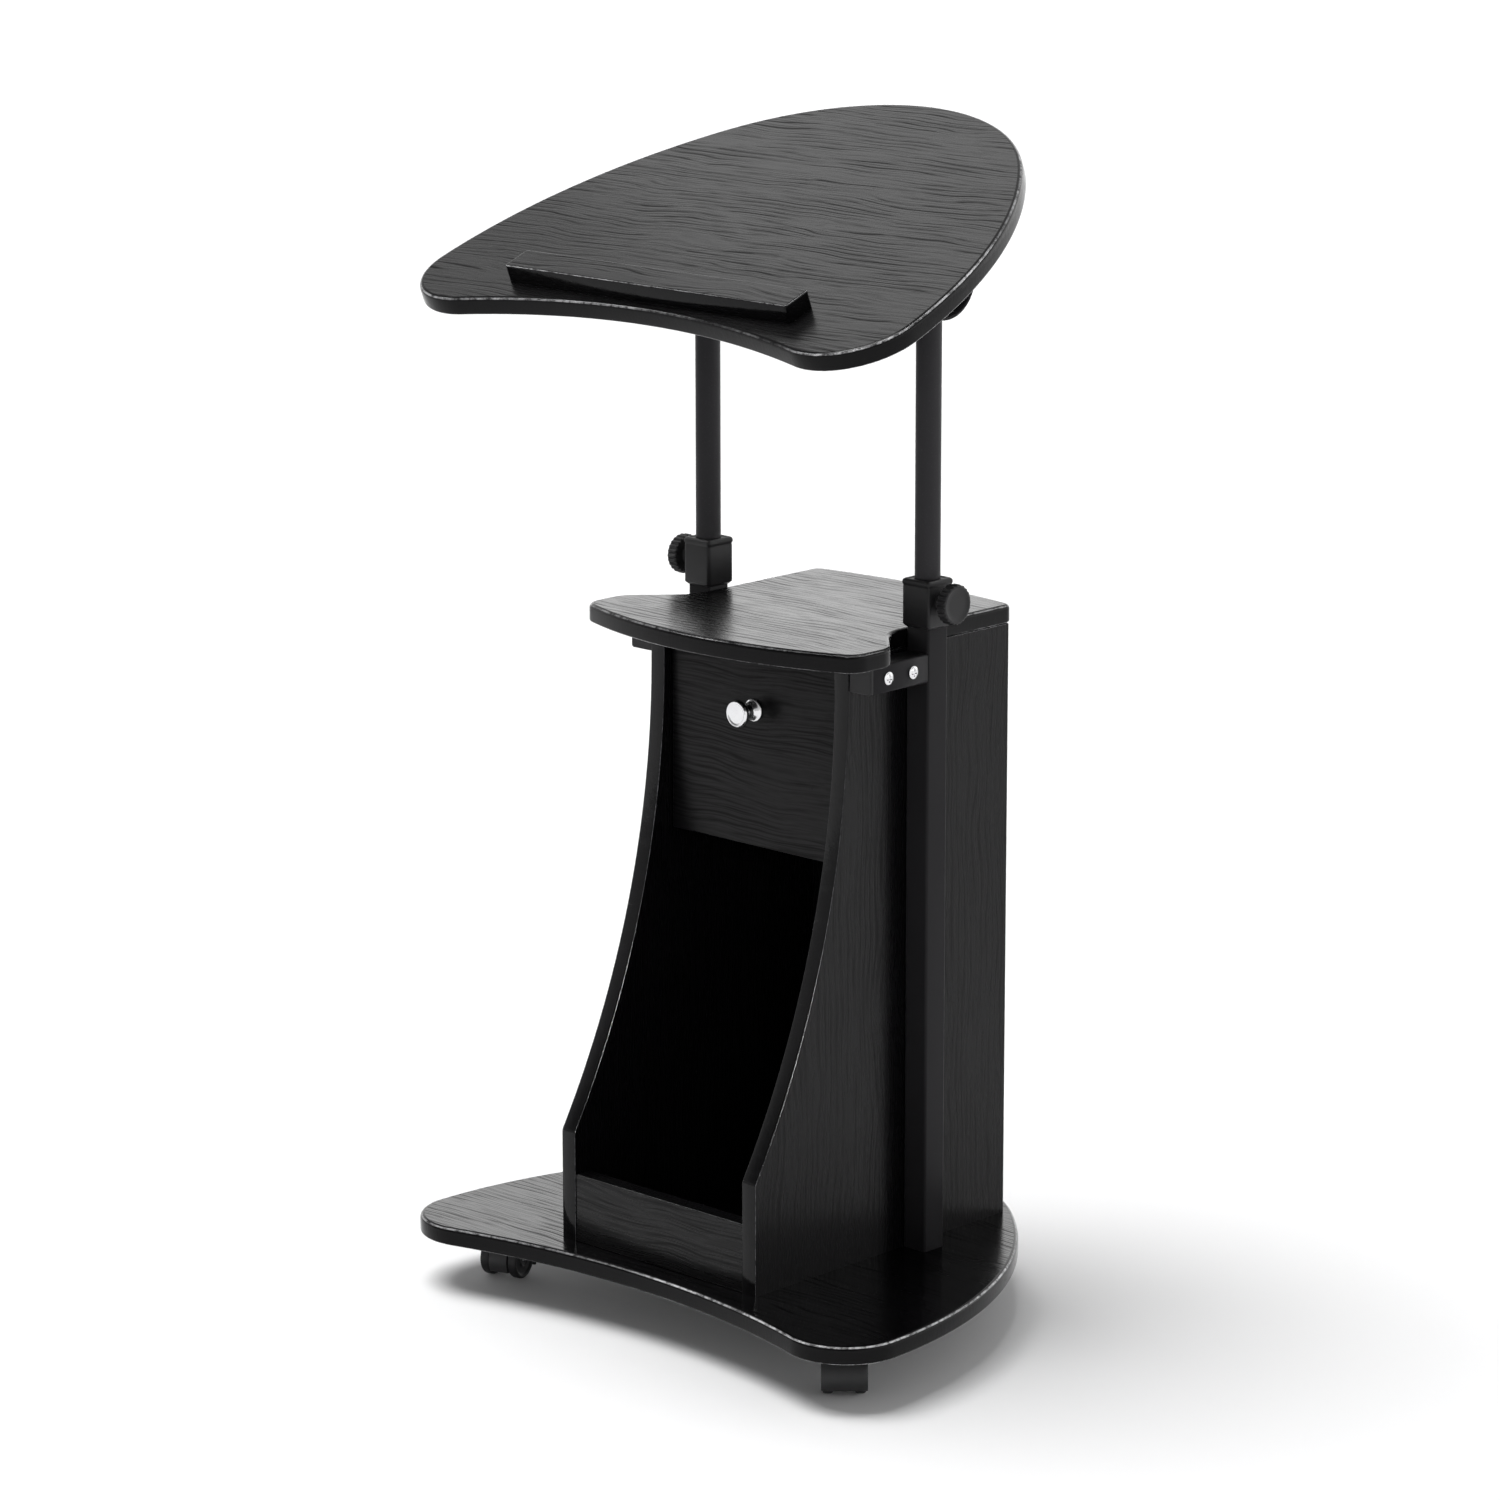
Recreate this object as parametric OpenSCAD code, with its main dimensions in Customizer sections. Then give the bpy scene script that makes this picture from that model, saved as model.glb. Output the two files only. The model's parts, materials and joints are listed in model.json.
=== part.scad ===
// Mobile lectern podium: a tilting, height-adjustable desk on two posts, with a
// small cabinet (drawer above an open cubby) on a wheeled base board.
// Millimetres. +Z is up, -Y is the user's side with the drawer and the book ledge.
// The origin is on the floor, under the middle of the base board.

/* [Boards] */
// Thickness of every laminated board
board_t = 16; // [15:0.5:18]
// Thickness of the drawer's side and back boards
drawer_board_t = 12; // [10:0.5:14]

/* [Base board] */
// Overall width of the base board
base_w = 549; // [520:1:600]
// Overall depth of the base board
base_d = 425; // [420:1:450]
// Radius of its two front corners
base_corner_r = 54.5; // [45:0.5:65]
// Radius of its round back
base_back_r = 184; // [160:1:190]
// Radius of its bowed sides
base_side_r = 434; // [420:1:480]
// Radius of the hollow front edge
base_front_r = 743; // [600:1:900]

/* [Cabinet] */
// Width over the two side panels
cab_w = 233; // [225:1:240]
// Height from the base board to the underside of the top shelf
cab_h = 534; // [525:1:545]
// Distance of the panels' foot in front of the origin
cab_front = 158.5; // [155:0.5:162]
// Distance of the cabinet's back behind the origin
cab_back = 160; // [155:1:165]
// Distance of the panels' upper front edge in front of the origin
cab_waist = 45; // [42:1:48]
// Radius of the hollow front edge of the side panels
panel_curve_r = 780; // [760:5:800]
// Height of the kick panel
kick_h = 61; // [50:1:70]

/* [Top shelf] */
// Width over the two wings of the shelf
shelf_w = 320; // [315:1:330]
// Width of the shelf behind the posts
shelf_rear_w = 232; // [228:1:233]
// Radius of its bowed front edge
shelf_front_r = 400; // [380:10:600]
// Radius of the front corners of the wings
tip_r = 20; // [15:1:22]
// Radius of the rear corners of the wings
wing_r = 25; // [20:1:28]

/* [Drawer] */
// Height of the drawer front
front_h = 180; // [170:1:190]
// Height of the drawer box
box_h = 120; // [100:1:125]
// Length of the drawer box behind its front
box_l = 154; // [140:1:156]
// Head diameter of the pull knob
pull_d = 24; // [20:1:28]

/* [Posts and tubes] */
// Side of the square posts
post_s = 25; // [25:1:26]
// Wall of the square posts
post_wall = 1.2; // [1:0.1:1.4]
// Outer diameter of the sliding tubes
tube_d = 22; // [21:0.5:22]
// Wall of the sliding tubes
tube_wall = 1.5; // [1.2:0.1:2]
// Length of the sliding tubes
tube_l = 624; // [600:1:640]
// Distance of the posts behind the origin
post_y = 40; // [38:1:42]
// Height of the tube's top above the floor with the desk at its stored height
tube_top = 929; // [905:1:945]
// Side of the clamp collars
collar_s = 30.5; // [30:0.5:31.5]
// Height of the clamp collars
collar_h = 42; // [40:0.5:46]
// Diameter of the clamp knobs
clamp_knob_d = 35; // [30:1:38]

/* [Desk] */
// Overall width of the desk board
desk_w = 547; // [520:1:580]
// Overall depth of the desk board along its slope
desk_d = 409.5; // [405:0.5:420]
// Radius of its two front corners
desk_corner_r = 63.3; // [55:0.1:70]
// Radius of its round back
desk_back_r = 226.4; // [215:0.1:235]
// Radius of its bowed sides
desk_side_r = 430.6; // [420:0.1:460]
// Radius of its hollow front edge
desk_front_r = 729; // [650:1:900]
// Slope of the desk as stored, in degrees
desk_tilt = 21; // [15:0.1:25]
// Distance from the pivot up to the underside of the desk board
desk_rise = 45.1; // [43:0.1:50]
// Distance from the pivot to the front of the desk board, along the slope
desk_reach = 235.2; // [228:0.1:240]
// Length of the book ledge
ledge_l = 326; // [300:1:330]
// Depth of the book ledge
ledge_d = 29; // [22:1:32]
// Height of the book ledge
ledge_h = 16.5; // [14:0.5:20]
// Radius of the round end of a tilt bracket
bracket_r = 35.5; // [34:0.5:37]

/* [Casters] */
// Height from the floor to the base board
caster_h = 46; // [44:1:50]
// Diameter of the twin wheels
wheel_d = 35; // [33:1:36]
// Width of one wheel
wheel_w = 9; // [8:0.5:10]
// Distance of the wheel axle from the swivel axis
caster_trail = 9; // [7:1:11]

/* [Hidden] */
$fn = 96;
slip = 0.1;                        // diametral clearance of pins, dowels and screws in their bores
deep = 0.2;                        // extra depth of a blind bore or groove
overcut = 1;                       // how far a cutter runs past the face it opens

base_top = caster_h + board_t;
cab_top = base_top + cab_h;
shelf_top = cab_top + board_t;
panel_x = cab_w / 2 - board_t;     // inner face of a side panel
panel_mid = cab_w / 2 - board_t / 2;
waist_drop = 30;                   // from the top shelf down to the panels' narrowest place

post_x = cab_w / 2 + post_s / 2;   // centre of a post
post_in = post_s - 2 * post_wall;
collar_gap = 2.1;                  // between the top shelf and the collar
collar_z = shelf_top + collar_gap;
post_top = collar_z + 31.9;
clamp_z = collar_z + 22.9;         // height of the clamp knob's axis

bush_t = 4;                        // flange of the tube's lower bush
bush_in = 12;                      // how far the bush goes into the tube
post_bolt_d = 8;
plug_h = 20;
stud_d = 6;                        // thread of both kinds of hand knob
stud_in = 4;                       // how far a stud goes into the grip
knob_hub_d = 16;
knob_hub_l = 7;
clamp_grip_l = 10;
clamp_knob_x = post_x + collar_s / 2 + 2.2;

pivot_z = tube_top - 16;           // height of the tilt axis
pivot_d = 8;
rod_over = 8;                      // how far the pivot rod runs past a bracket
nut_h = 6.5;
lock_r = 22;                       // radius of the tilt slot about the pivot
lock_d = 6;
lock_z = pivot_z - lock_r;
lock_head_t = 3;
tilt_knob_d = 30;
tilt_knob_x = post_x - tube_d / 2 - 0.2;
tilt_grip_l = 9;
tilt_down = 14;                  // how much steeper than stored the desk can go, in degrees
bracket_t = 3;
rim_h = 6.6;                       // how far a bracket's edges are turned outward
bracket_half = 45;                 // half length of the bracket's flange
cheek_half = 28;                   // the straight edges of the cheek start inside its round end
cheek_drop = 14;
slot_w = lock_d + 0.6;
slot_over = 10;                    // how far the slot runs past the bolt's end positions, in degrees
slot_flat = -90 + slot_over;
slot_steep = -90 - desk_tilt - tilt_down - slot_over;
flange_w = 33;
bracket_x = post_x + tube_d / 2 + 0.2;
bracket_screws_y = [-32, 0, 32];
bracket_screw_x = bracket_x + bracket_t - flange_w + 12;
wood_screw_d = 4;                  // screws of the drawer, the desk and the ledge
wood_head_d = 8;
wood_head_h = 2.5;
small_screw_d = 3.5;               // screws of the runners and the caster plates
small_head_d = 7;

front_y = -37;                   // front face of the drawer front
front_z = cab_top - 3 - front_h;
front_gap = 1.8;                   // between the drawer front and a side panel
box_z = front_z + 32;
box_y = front_y + board_t;         // front end of the drawer box
box_x = panel_x - 2;               // outer face of the drawer box
groove_h = 3.2;
groove_z = box_z + 6;
sheet_t = 3;                       // drawer bottom
groove_depth = 5;
runner_h = 10;
runner_z = box_z + 50;
runner_t = 7.5;
runner_play = 0.5;                 // above and below a runner in its groove
runner_screws_y = [10, 105];
runner_screw_l = 10;               // length of a runner screw inside the side panel
runner_head_t = 2;                 // depth of its head's seat in the runner
pull_z = 533.5;
pull_neck_d = 10;
pull_screw_in = 10;                // length of its screw inside the pull
box_back = box_y + box_l;
box_in = box_x - drawer_board_t;   // inner face of the drawer sides
drawer_dowel_d = 6;
drawer_dowel_l = 24;
drawer_dowel_in = 10;              // how deep it goes into the drawer front
drawer_dowel_x = box_in + drawer_board_t / 2 - 1;
drawer_dowel_z = [box_z + 35, box_z + 85];
back_screw_l = 14;                 // length of a back screw inside the drawer back
back_head_t = 3;                   // depth of its head's seat in the drawer side
back_screw_y = box_back - drawer_board_t / 2;
back_screw_z = [box_z + 36, box_z + 96];
back_y = cab_back - board_t;       // front face of the back panel

dowel_d = 8;
dowel_l = 30;
dowel_in = 10;                     // how deep a dowel goes into the board it enters across the grain
// Dowels along X, as [Y, Z], between each side panel and a board's end
side_dowels = [
    [-cab_front + 9, base_top + 18], [-cab_front + 9, base_top + kick_h - 17],
    [0, front_z + 2 + board_t / 2], [110, front_z + 2 + board_t / 2],
    [back_y + board_t / 2, base_top + 63], [back_y + board_t / 2, base_top + 263],
    [back_y + board_t / 2, base_top + 473]
];
// Dowels along Z between each side panel and the top shelf, as Y
shelf_dowels = [-8, 110];
// Screws along Z through the base board into each side panel, as Y
base_screws = [-125, 0, 125];
base_screw_d = 5;
base_screw_l = 50;
screw_head_d = 9;
screw_head_h = 3;

shelf_front = -115;                // front edge at the middle
shelf_back = 176;                  // back edge at the middle
shelf_back_r = 650;
rear_corner_r = 10;
wing_y = -49;                      // centre of the wing's rear corner
slant = [0.72, 0.694];             // outward normal of the wing's slanted rear edge
fillet_r = 40;

arm_l = 68.5;                      // length of a post arm in front of the post
arm_z = cab_top - 15;              // height of the arm's centre line
arm_cap_t = 3;
arm_cap_in = 8;                    // how far a cap's plug goes into the arm
arm_screws_y = [-23, 8];
arm_screw_d = 6;
arm_screw_head_d = 11;
arm_screw_head_h = 3;
arm_screw_in = 10;                 // length of an arm screw inside the side panel

wheel_r = wheel_d / 2;
wheel_gap = 18.6;                  // between a caster's two wheels
axle_d = 5;
hood_w = 39.4;
plate_s = 38;
plate_t = 2;
plate_screw = 14;                  // screws from the plate's centre, along X and Y
plate_screw_l = 14;
plate_head_h = 1.2;
swivel_d = 6;
pin_l = 5;                         // length of the swivel pin inside the hood
hood_top = caster_h - plate_t - 0.5;
neck_d = 26;                       // round top of the hood under the plate
neck_h = 8;
fender_gap = 1;
fender_t = 2.4;
fender_front = 12;                 // how far the fender runs past the axle on the leading side
fender_foot = 8;                   // height of the fender's lower edge above the floor
web_half = wheel_gap / 2 - 0.3;
web_foot = 7;                      // height of the web above the floor
// Casters as [X, Y, turn about the swivel in degrees]: front left, front right, rear left, rear right
caster_spots = [[-207, -146, 197], [207, -146, 43.7], [-75, 150, 150], [75, 150, 250]];

desk_board_z = desk_rise + board_t;
ledge_v = -desk_reach + 39;      // front face of the book ledge, from the pivot
ledge_screws_x = [-120, 0, 120];
ledge_screw_in = 10;               // length of a ledge screw inside the ledge
ledge_head_t = 3;                  // depth of its head's seat in the desk board
desk_screw_in = 12;                // depth of the bracket screws' bores in the desk board

// ---------------------------------------------------------------- helpers

// Draws its children on both sides of the plane X = 0
module both_sides() {
    children();
    mirror([1, 0, 0]) children();
}

// A rod along X from x0 to x1
module rod_x(d, x0, x1) {
    translate([x0, 0, 0]) rotate([0, 90, 0]) cylinder(d = d, h = x1 - x0);
}

// A box between two corners
module block(low, high) {
    translate(low) cube(high - low);
}

// A plane outline in Y and Z, extruded from x0 to x1
module slab_x(x0, x1) {
    translate([x0, 0, 0]) rotate([90, 0, 90]) linear_extrude(x1 - x0) children();
}

// Point at distance r from centre c towards point p
function towards(c, p, r) = c + (p - c) * (r / norm(p - c));

// Centre of the side arc of radius rs that holds the corner circle (a, r1) and the back circle (b, rb)
function side_centre(a, r1, b, rb, rs) =
    let (d = norm(b - a))
    let (e = (b - a) / d)
    let (along = (pow(rs - r1, 2) - pow(rs - rb, 2) + d * d) / (2 * d))
    let (across = sqrt(pow(rs - r1, 2) - along * along))
    a + along * e + across * [-e[1], e[0]];

// Rounded triangle with a round back, bowed sides, round front corners and a hollow front edge.
// The front corners touch y = 0 and the back reaches y = depth.
module rounded_triangle(width, depth, r1, rb, rs, rf) {
    a = [width / 2 - r1, r1];
    b = [0, depth - rb];
    s = side_centre(a, r1, b, rb, rs);
    f = [0, a[1] - sqrt(pow(rf + r1, 2) - pow(a[0], 2))];
    side_low = towards(s, a, rs);
    side_high = towards(s, b, rs);
    front = towards(a, f, r1);
    difference() {
        union() {
            for (side = [-1, 1]) translate([side * a[0], a[1]]) circle(r1);
            translate(b) circle(rb);
            intersection() {
                translate(s) circle(rs);
                translate([-s[0], s[1]]) circle(rs);
                translate([-width, side_low[1]]) square([2 * width, side_high[1] - side_low[1]]);
            }
            polygon([side_low, [-side_low[0], side_low[1]], [-front[0], front[1]], front]);
        }
        translate(f) circle(rf);
    }
}

// Places its children in the desk's own frame: the pivot is the origin and Z is square to the board
module desk_frame() {
    translate([0, post_y, pivot_z]) rotate([desk_tilt, 0, 0]) children();
}

// A screw along +Z with its head's underside at z = 0 and the head below it
module screw(d, l, head_d, head_h) {
    cylinder(d = d, h = l);
    translate([0, 0, -head_h]) cylinder(d = head_d, h = head_h);
}

// ---------------------------------------------------------------- cabinet boards

module side_dowel_bores() {
    for (spot = side_dowels) {
        translate([0, spot[0], spot[1]])
            rod_x(dowel_d + slip, panel_x - dowel_l + dowel_in - deep, panel_x + dowel_in + deep);
    }
}

module shelf_dowel_bores() {
    for (y = shelf_dowels) {
        translate([panel_mid, y, cab_top - dowel_l + dowel_in - deep])
            cylinder(d = dowel_d + slip, h = dowel_l + 2 * deep);
    }
}

module base_board() color([0.09, 0.09, 0.10]) difference() {
    translate([0, -base_d / 2, caster_h]) linear_extrude(board_t)
        rounded_triangle(base_w, base_d, base_corner_r, base_back_r, base_side_r, base_front_r);
    both_sides() {
        for (y = base_screws) {
            translate([panel_mid, y, caster_h - overcut])
                cylinder(d = base_screw_d + slip, h = board_t + 2 * overcut);
            translate([panel_mid, y, caster_h - overcut])
                cylinder(d = screw_head_d + slip, h = screw_head_h + overcut + slip);
        }
        translate([post_x, post_y, caster_h - overcut])
            cylinder(d = post_bolt_d + slip, h = board_t + 2 * overcut);
    }
    for (spot = caster_spots) {
        translate([spot[0], spot[1], 0]) plate_screw_bores();
    }
}

// Front edge: upright to the knee, then a long hollow curve up to the waist
module side_panel() difference() {
    slab_x(panel_x, panel_x + board_t) difference() {
        translate([-cab_front, base_top]) square([cab_front + cab_back, cab_h]);
        translate([-cab_waist - panel_curve_r, cab_top - waist_drop]) circle(panel_curve_r);
    }
    side_dowel_bores();
    shelf_dowel_bores();
    for (y = base_screws) {
        translate([panel_mid, y, base_top - overcut])
            cylinder(d = base_screw_d + slip, h = base_screw_l - board_t + overcut + slip);
    }
    for (y = arm_screws_y) {
        translate([0, y, arm_z])
            rod_x(arm_screw_d + slip, cab_w / 2 - arm_screw_in - deep, cab_w / 2 + overcut);
    }
    for (y = runner_screws_y) {
        translate([0, y, runner_z])
            rod_x(small_screw_d + slip, panel_x - overcut, panel_x + runner_screw_l + deep);
    }
}

module left_side_panel() color([0.10, 0.10, 0.11]) mirror([1, 0, 0]) side_panel();
module right_side_panel() color([0.10, 0.10, 0.11]) side_panel();

module back_panel() color([0.08, 0.08, 0.09]) difference() {
    block([-panel_x, back_y, base_top], [panel_x, cab_back, cab_top]);
    both_sides() side_dowel_bores();
}

module kick_panel() color([0.14, 0.14, 0.15]) difference() {
    block([-panel_x, -cab_front + 1, base_top], [panel_x, -cab_front + 1 + board_t, base_top + kick_h]);
    both_sides() side_dowel_bores();
}

module divider_panel() color([0.08, 0.08, 0.09]) difference() {
    block([-panel_x, box_y + 1, front_z + 2], [panel_x, back_y, front_z + 2 + board_t]);
    both_sides() side_dowel_bores();
}

// Wide bowed front with two rounded wings that run back at a slant to clear the posts, and a narrower rear
module shelf_outline() {
    front_c = [0, shelf_front + shelf_front_r];
    corner_x = shelf_w / 2 - tip_r;
    corner = [corner_x, front_c[1] - sqrt(pow(shelf_front_r - tip_r, 2) - pow(corner_x, 2))];
    touch = towards(front_c, corner, shelf_front_r);
    wing = [shelf_w / 2 - wing_r, wing_y];
    tip = wing + wing_r * slant;
    rear_x = shelf_rear_w / 2;
    notch = [rear_x, (tip * slant - rear_x * slant[0]) / slant[1]];
    // centre of the hollow fillet between the slanted edge and the rear's side
    fillet_x = rear_x + fillet_r;
    fillet = [fillet_x, (tip * slant + fillet_r - fillet_x * slant[0]) / slant[1]];
    back_c = [0, shelf_back - shelf_back_r];
    back_x = rear_x - rear_corner_r;
    back_corner = [back_x, back_c[1] + sqrt(pow(shelf_back_r - rear_corner_r, 2) - pow(back_x, 2))];
    back_touch = towards(back_c, back_corner, shelf_back_r);
    for (side = [-1, 1]) scale([side, 1]) {
        translate(corner) circle(tip_r);
        translate(wing) circle(wing_r);
        translate(back_corner) circle(rear_corner_r);
        polygon([[0, touch[1]], touch, corner + [tip_r, 0], wing + [wing_r, 0], tip, notch,
                 back_corner + [rear_corner_r, 0], back_touch, [0, back_touch[1]]]);
        difference() {
            polygon([notch, fillet - fillet_r * slant, [rear_x, fillet[1]]]);
            translate(fillet) circle(fillet_r);
        }
    }
    intersection() {
        translate(front_c) circle(shelf_front_r);
        translate([-touch[0], shelf_front]) square([2 * touch[0], touch[1] - shelf_front]);
    }
    intersection() {
        translate(back_c) circle(shelf_back_r);
        translate([-back_touch[0], back_touch[1]]) square([2 * back_touch[0], shelf_back - back_touch[1]]);
    }
}

module top_shelf() color([0.16, 0.16, 0.17]) difference() {
    translate([0, 0, cab_top]) linear_extrude(board_t) shelf_outline();
    both_sides() shelf_dowel_bores();
}

module panel_screws() color([0.72, 0.73, 0.75]) both_sides() {
    for (y = base_screws) {
        translate([panel_mid, y, caster_h + screw_head_h])
            screw(base_screw_d, base_screw_l - screw_head_h, screw_head_d, screw_head_h);
    }
}

module panel_dowels() color([0.78, 0.64, 0.44]) both_sides() {
    for (spot = side_dowels) {
        translate([0, spot[0], spot[1]]) rod_x(dowel_d, panel_x - dowel_l + dowel_in, panel_x + dowel_in);
    }
    for (y = shelf_dowels) {
        translate([panel_mid, y, cab_top - dowel_l + dowel_in]) cylinder(d = dowel_d, h = dowel_l);
    }
}

// ---------------------------------------------------------------- drawer

module drawer_dowel_bores() {
    for (z = drawer_dowel_z) {
        translate([drawer_dowel_x, box_y - drawer_dowel_in - deep, z]) rotate([-90, 0, 0])
            cylinder(d = drawer_dowel_d + slip, h = drawer_dowel_l + 2 * deep);
    }
}

module drawer_back_screw_bores() {
    for (z = back_screw_z) {
        translate([0, back_screw_y, z]) {
            rod_x(wood_screw_d + slip, box_in - back_screw_l - deep, box_x + overcut);
            rod_x(wood_head_d + slip, box_x - back_head_t - slip, box_x + overcut);
        }
    }
}

module drawer_front() color([0.13, 0.13, 0.14]) difference() {
    block([-panel_x + front_gap, front_y, front_z], [panel_x - front_gap, box_y, front_z + front_h]);
    block([-box_in - groove_depth, box_y - groove_depth, groove_z - slip],
          [box_in + groove_depth, box_y + overcut, groove_z - slip + groove_h]);
    both_sides() drawer_dowel_bores();
    translate([0, front_y - overcut, pull_z]) rotate([-90, 0, 0])
        cylinder(d = wood_screw_d + slip, h = board_t + 2 * overcut);
}

module drawer_side() difference() {
    block([box_in, box_y, box_z], [box_x, box_back, box_z + box_h]);
    block([box_in - overcut, box_y - overcut, groove_z - slip],
          [box_in + groove_depth, box_back + overcut, groove_z - slip + groove_h]);
    block([panel_x - runner_t - 1, box_y - overcut, runner_z - runner_h / 2 - runner_play],
          [box_x + overcut, box_back + overcut, runner_z + runner_h / 2 + runner_play]);
    drawer_dowel_bores();
    drawer_back_screw_bores();
}

module drawer_left_side() color([0.17, 0.17, 0.18]) mirror([1, 0, 0]) drawer_side();
module drawer_right_side() color([0.17, 0.17, 0.18]) drawer_side();

module drawer_back() color([0.17, 0.17, 0.18]) difference() {
    block([-box_in, box_back - drawer_board_t, groove_z + sheet_t + deep],
          [box_in, box_back, box_z + box_h]);
    both_sides() drawer_back_screw_bores();
}

module drawer_bottom() color([0.20, 0.20, 0.21])
    block([-box_in - groove_depth + deep, box_y - groove_depth + deep, groove_z],
          [box_in + groove_depth - deep, box_back, groove_z + sheet_t]);

// Mushroom pull: foot, waist and a flat-faced head, turned about Y
module drawer_pull() color([0.80, 0.81, 0.83])
translate([0, front_y, pull_z]) rotate([90, 0, 0]) difference() {
    union() {
        cylinder(d = 20, h = 2);
        translate([0, 0, 2]) cylinder(d1 = 17, d2 = pull_neck_d, h = 5);
        translate([0, 0, 7]) cylinder(d = pull_neck_d, h = 6);
        translate([0, 0, 13]) cylinder(d1 = pull_neck_d, d2 = pull_d, h = 6);
        translate([0, 0, 19]) cylinder(d = pull_d, h = 3);
        translate([0, 0, 22]) cylinder(d1 = pull_d, d2 = pull_d - 5, h = 1.5);
    }
    translate([0, 0, -overcut]) cylinder(d = wood_screw_d + slip, h = overcut + pull_screw_in + deep);
}

module drawer_screws() color([0.72, 0.73, 0.75]) {
    both_sides() {
        for (z = back_screw_z) {
            translate([0, back_screw_y, z]) {
                rod_x(wood_screw_d, box_in - back_screw_l, box_x - back_head_t);
                rod_x(wood_head_d, box_x - back_head_t, box_x - deep);
            }
        }
    }
    translate([0, box_y, pull_z]) rotate([90, 0, 0])
        screw(wood_screw_d, board_t + pull_screw_in, wood_head_d, wood_head_h);
}

module drawer_dowels() color([0.78, 0.64, 0.44]) both_sides() {
    for (z = drawer_dowel_z) {
        translate([drawer_dowel_x, box_y - drawer_dowel_in, z]) rotate([-90, 0, 0])
            cylinder(d = drawer_dowel_d, h = drawer_dowel_l);
    }
}

module drawer_runners() color([0.75, 0.75, 0.73]) both_sides() difference() {
    block([panel_x - runner_t, box_y + 5, runner_z - runner_h / 2],
          [panel_x, box_back, runner_z + runner_h / 2]);
    for (y = runner_screws_y) {
        translate([0, y, runner_z]) {
            rod_x(small_screw_d + slip, panel_x - runner_t - overcut, panel_x + overcut);
            rod_x(small_head_d + slip, panel_x - runner_t - overcut,
                  panel_x - runner_t + runner_head_t + slip);
        }
    }
}

module runner_screws() color([0.72, 0.73, 0.75]) both_sides() {
    for (y = runner_screws_y) {
        translate([0, y, runner_z]) {
            rod_x(small_screw_d, panel_x - runner_t + runner_head_t, panel_x + runner_screw_l);
            rod_x(small_head_d, panel_x - runner_t + deep, panel_x - runner_t + runner_head_t);
        }
    }
}

// ---------------------------------------------------------------- posts and clamps

// Square tube along Z with its centre on the Z axis
module square_tube(side, wall, l) difference() {
    translate([-side / 2, -side / 2, 0]) cube([side, side, l]);
    translate([wall - side / 2, wall - side / 2, -overcut])
        cube([side - 2 * wall, side - 2 * wall, l + 2 * overcut]);
}

module post() difference() {
    translate([post_x, post_y, base_top]) square_tube(post_s, post_wall, post_top - base_top);
    translate([0, post_y, clamp_z]) rod_x(stud_d + 1, post_x, post_x + post_s);
}

module left_post() color([0.12, 0.12, 0.13]) mirror([1, 0, 0]) post();
module right_post() color([0.12, 0.12, 0.13]) post();

module post_plugs() color([0.30, 0.30, 0.31]) both_sides() difference() {
    translate([post_x - post_in / 2 + slip, post_y - post_in / 2 + slip, base_top])
        cube([post_in - 2 * slip, post_in - 2 * slip, plug_h]);
    translate([post_x, post_y, base_top - overcut])
        cylinder(d = post_bolt_d + slip, h = plug_h + 2 * overcut);
}

module post_bolts() color([0.72, 0.73, 0.75]) both_sides() {
    translate([post_x, post_y, caster_h]) screw(post_bolt_d, board_t + plug_h - 2, 15, 4);
}

module post_arms() color([0.12, 0.12, 0.13]) both_sides() difference() {
    translate([post_x, post_y - post_s / 2, arm_z]) rotate([90, 0, 0]) square_tube(post_s, post_wall, arm_l);
    for (y = arm_screws_y) {
        translate([0, y, arm_z]) rod_x(arm_screw_d + slip, cab_w / 2 - overcut, post_x + post_s);
    }
}

module arm_caps() color([0.07, 0.07, 0.08]) both_sides() {
    arm_end = post_y - post_s / 2 - arm_l;
    translate([post_x - post_s / 2, arm_end - arm_cap_t, arm_z - post_s / 2])
        cube([post_s, arm_cap_t, post_s]);
    translate([post_x - post_in / 2 + slip, arm_end, arm_z - post_in / 2 + slip])
        cube([post_in - 2 * slip, arm_cap_in, post_in - 2 * slip]);
}

module arm_screws() color([0.80, 0.81, 0.83]) both_sides() {
    for (y = arm_screws_y) {
        translate([0, y, arm_z]) {
            rod_x(arm_screw_d, cab_w / 2 - arm_screw_in, cab_w / 2 + post_s);
            rod_x(arm_screw_head_d, cab_w / 2 + post_s, cab_w / 2 + post_s + arm_screw_head_h);
        }
    }
}

// Square cap over the post's top, with a round bore for the sliding tube and a boss for the clamp stud
module collar() difference() {
    union() {
        translate([post_x - collar_s / 2, post_y - collar_s / 2, collar_z])
            cube([collar_s, collar_s, collar_h]);
        translate([0, post_y, clamp_z]) rod_x(knob_hub_d, post_x, post_x + collar_s / 2 + 2);
    }
    translate([post_x - post_s / 2 - slip / 2, post_y - post_s / 2 - slip / 2, collar_z - overcut])
        cube([post_s + slip, post_s + slip, post_top - collar_z + overcut + slip]);
    translate([post_x, post_y, collar_z]) cylinder(d = tube_d + 2 * slip, h = collar_h + overcut);
    translate([0, post_y, clamp_z]) rod_x(stud_d + slip, post_x, post_x + post_s);
}

module left_collar() color([0.10, 0.10, 0.10]) mirror([1, 0, 0]) collar();
module right_collar() color([0.10, 0.10, 0.10]) collar();

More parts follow.
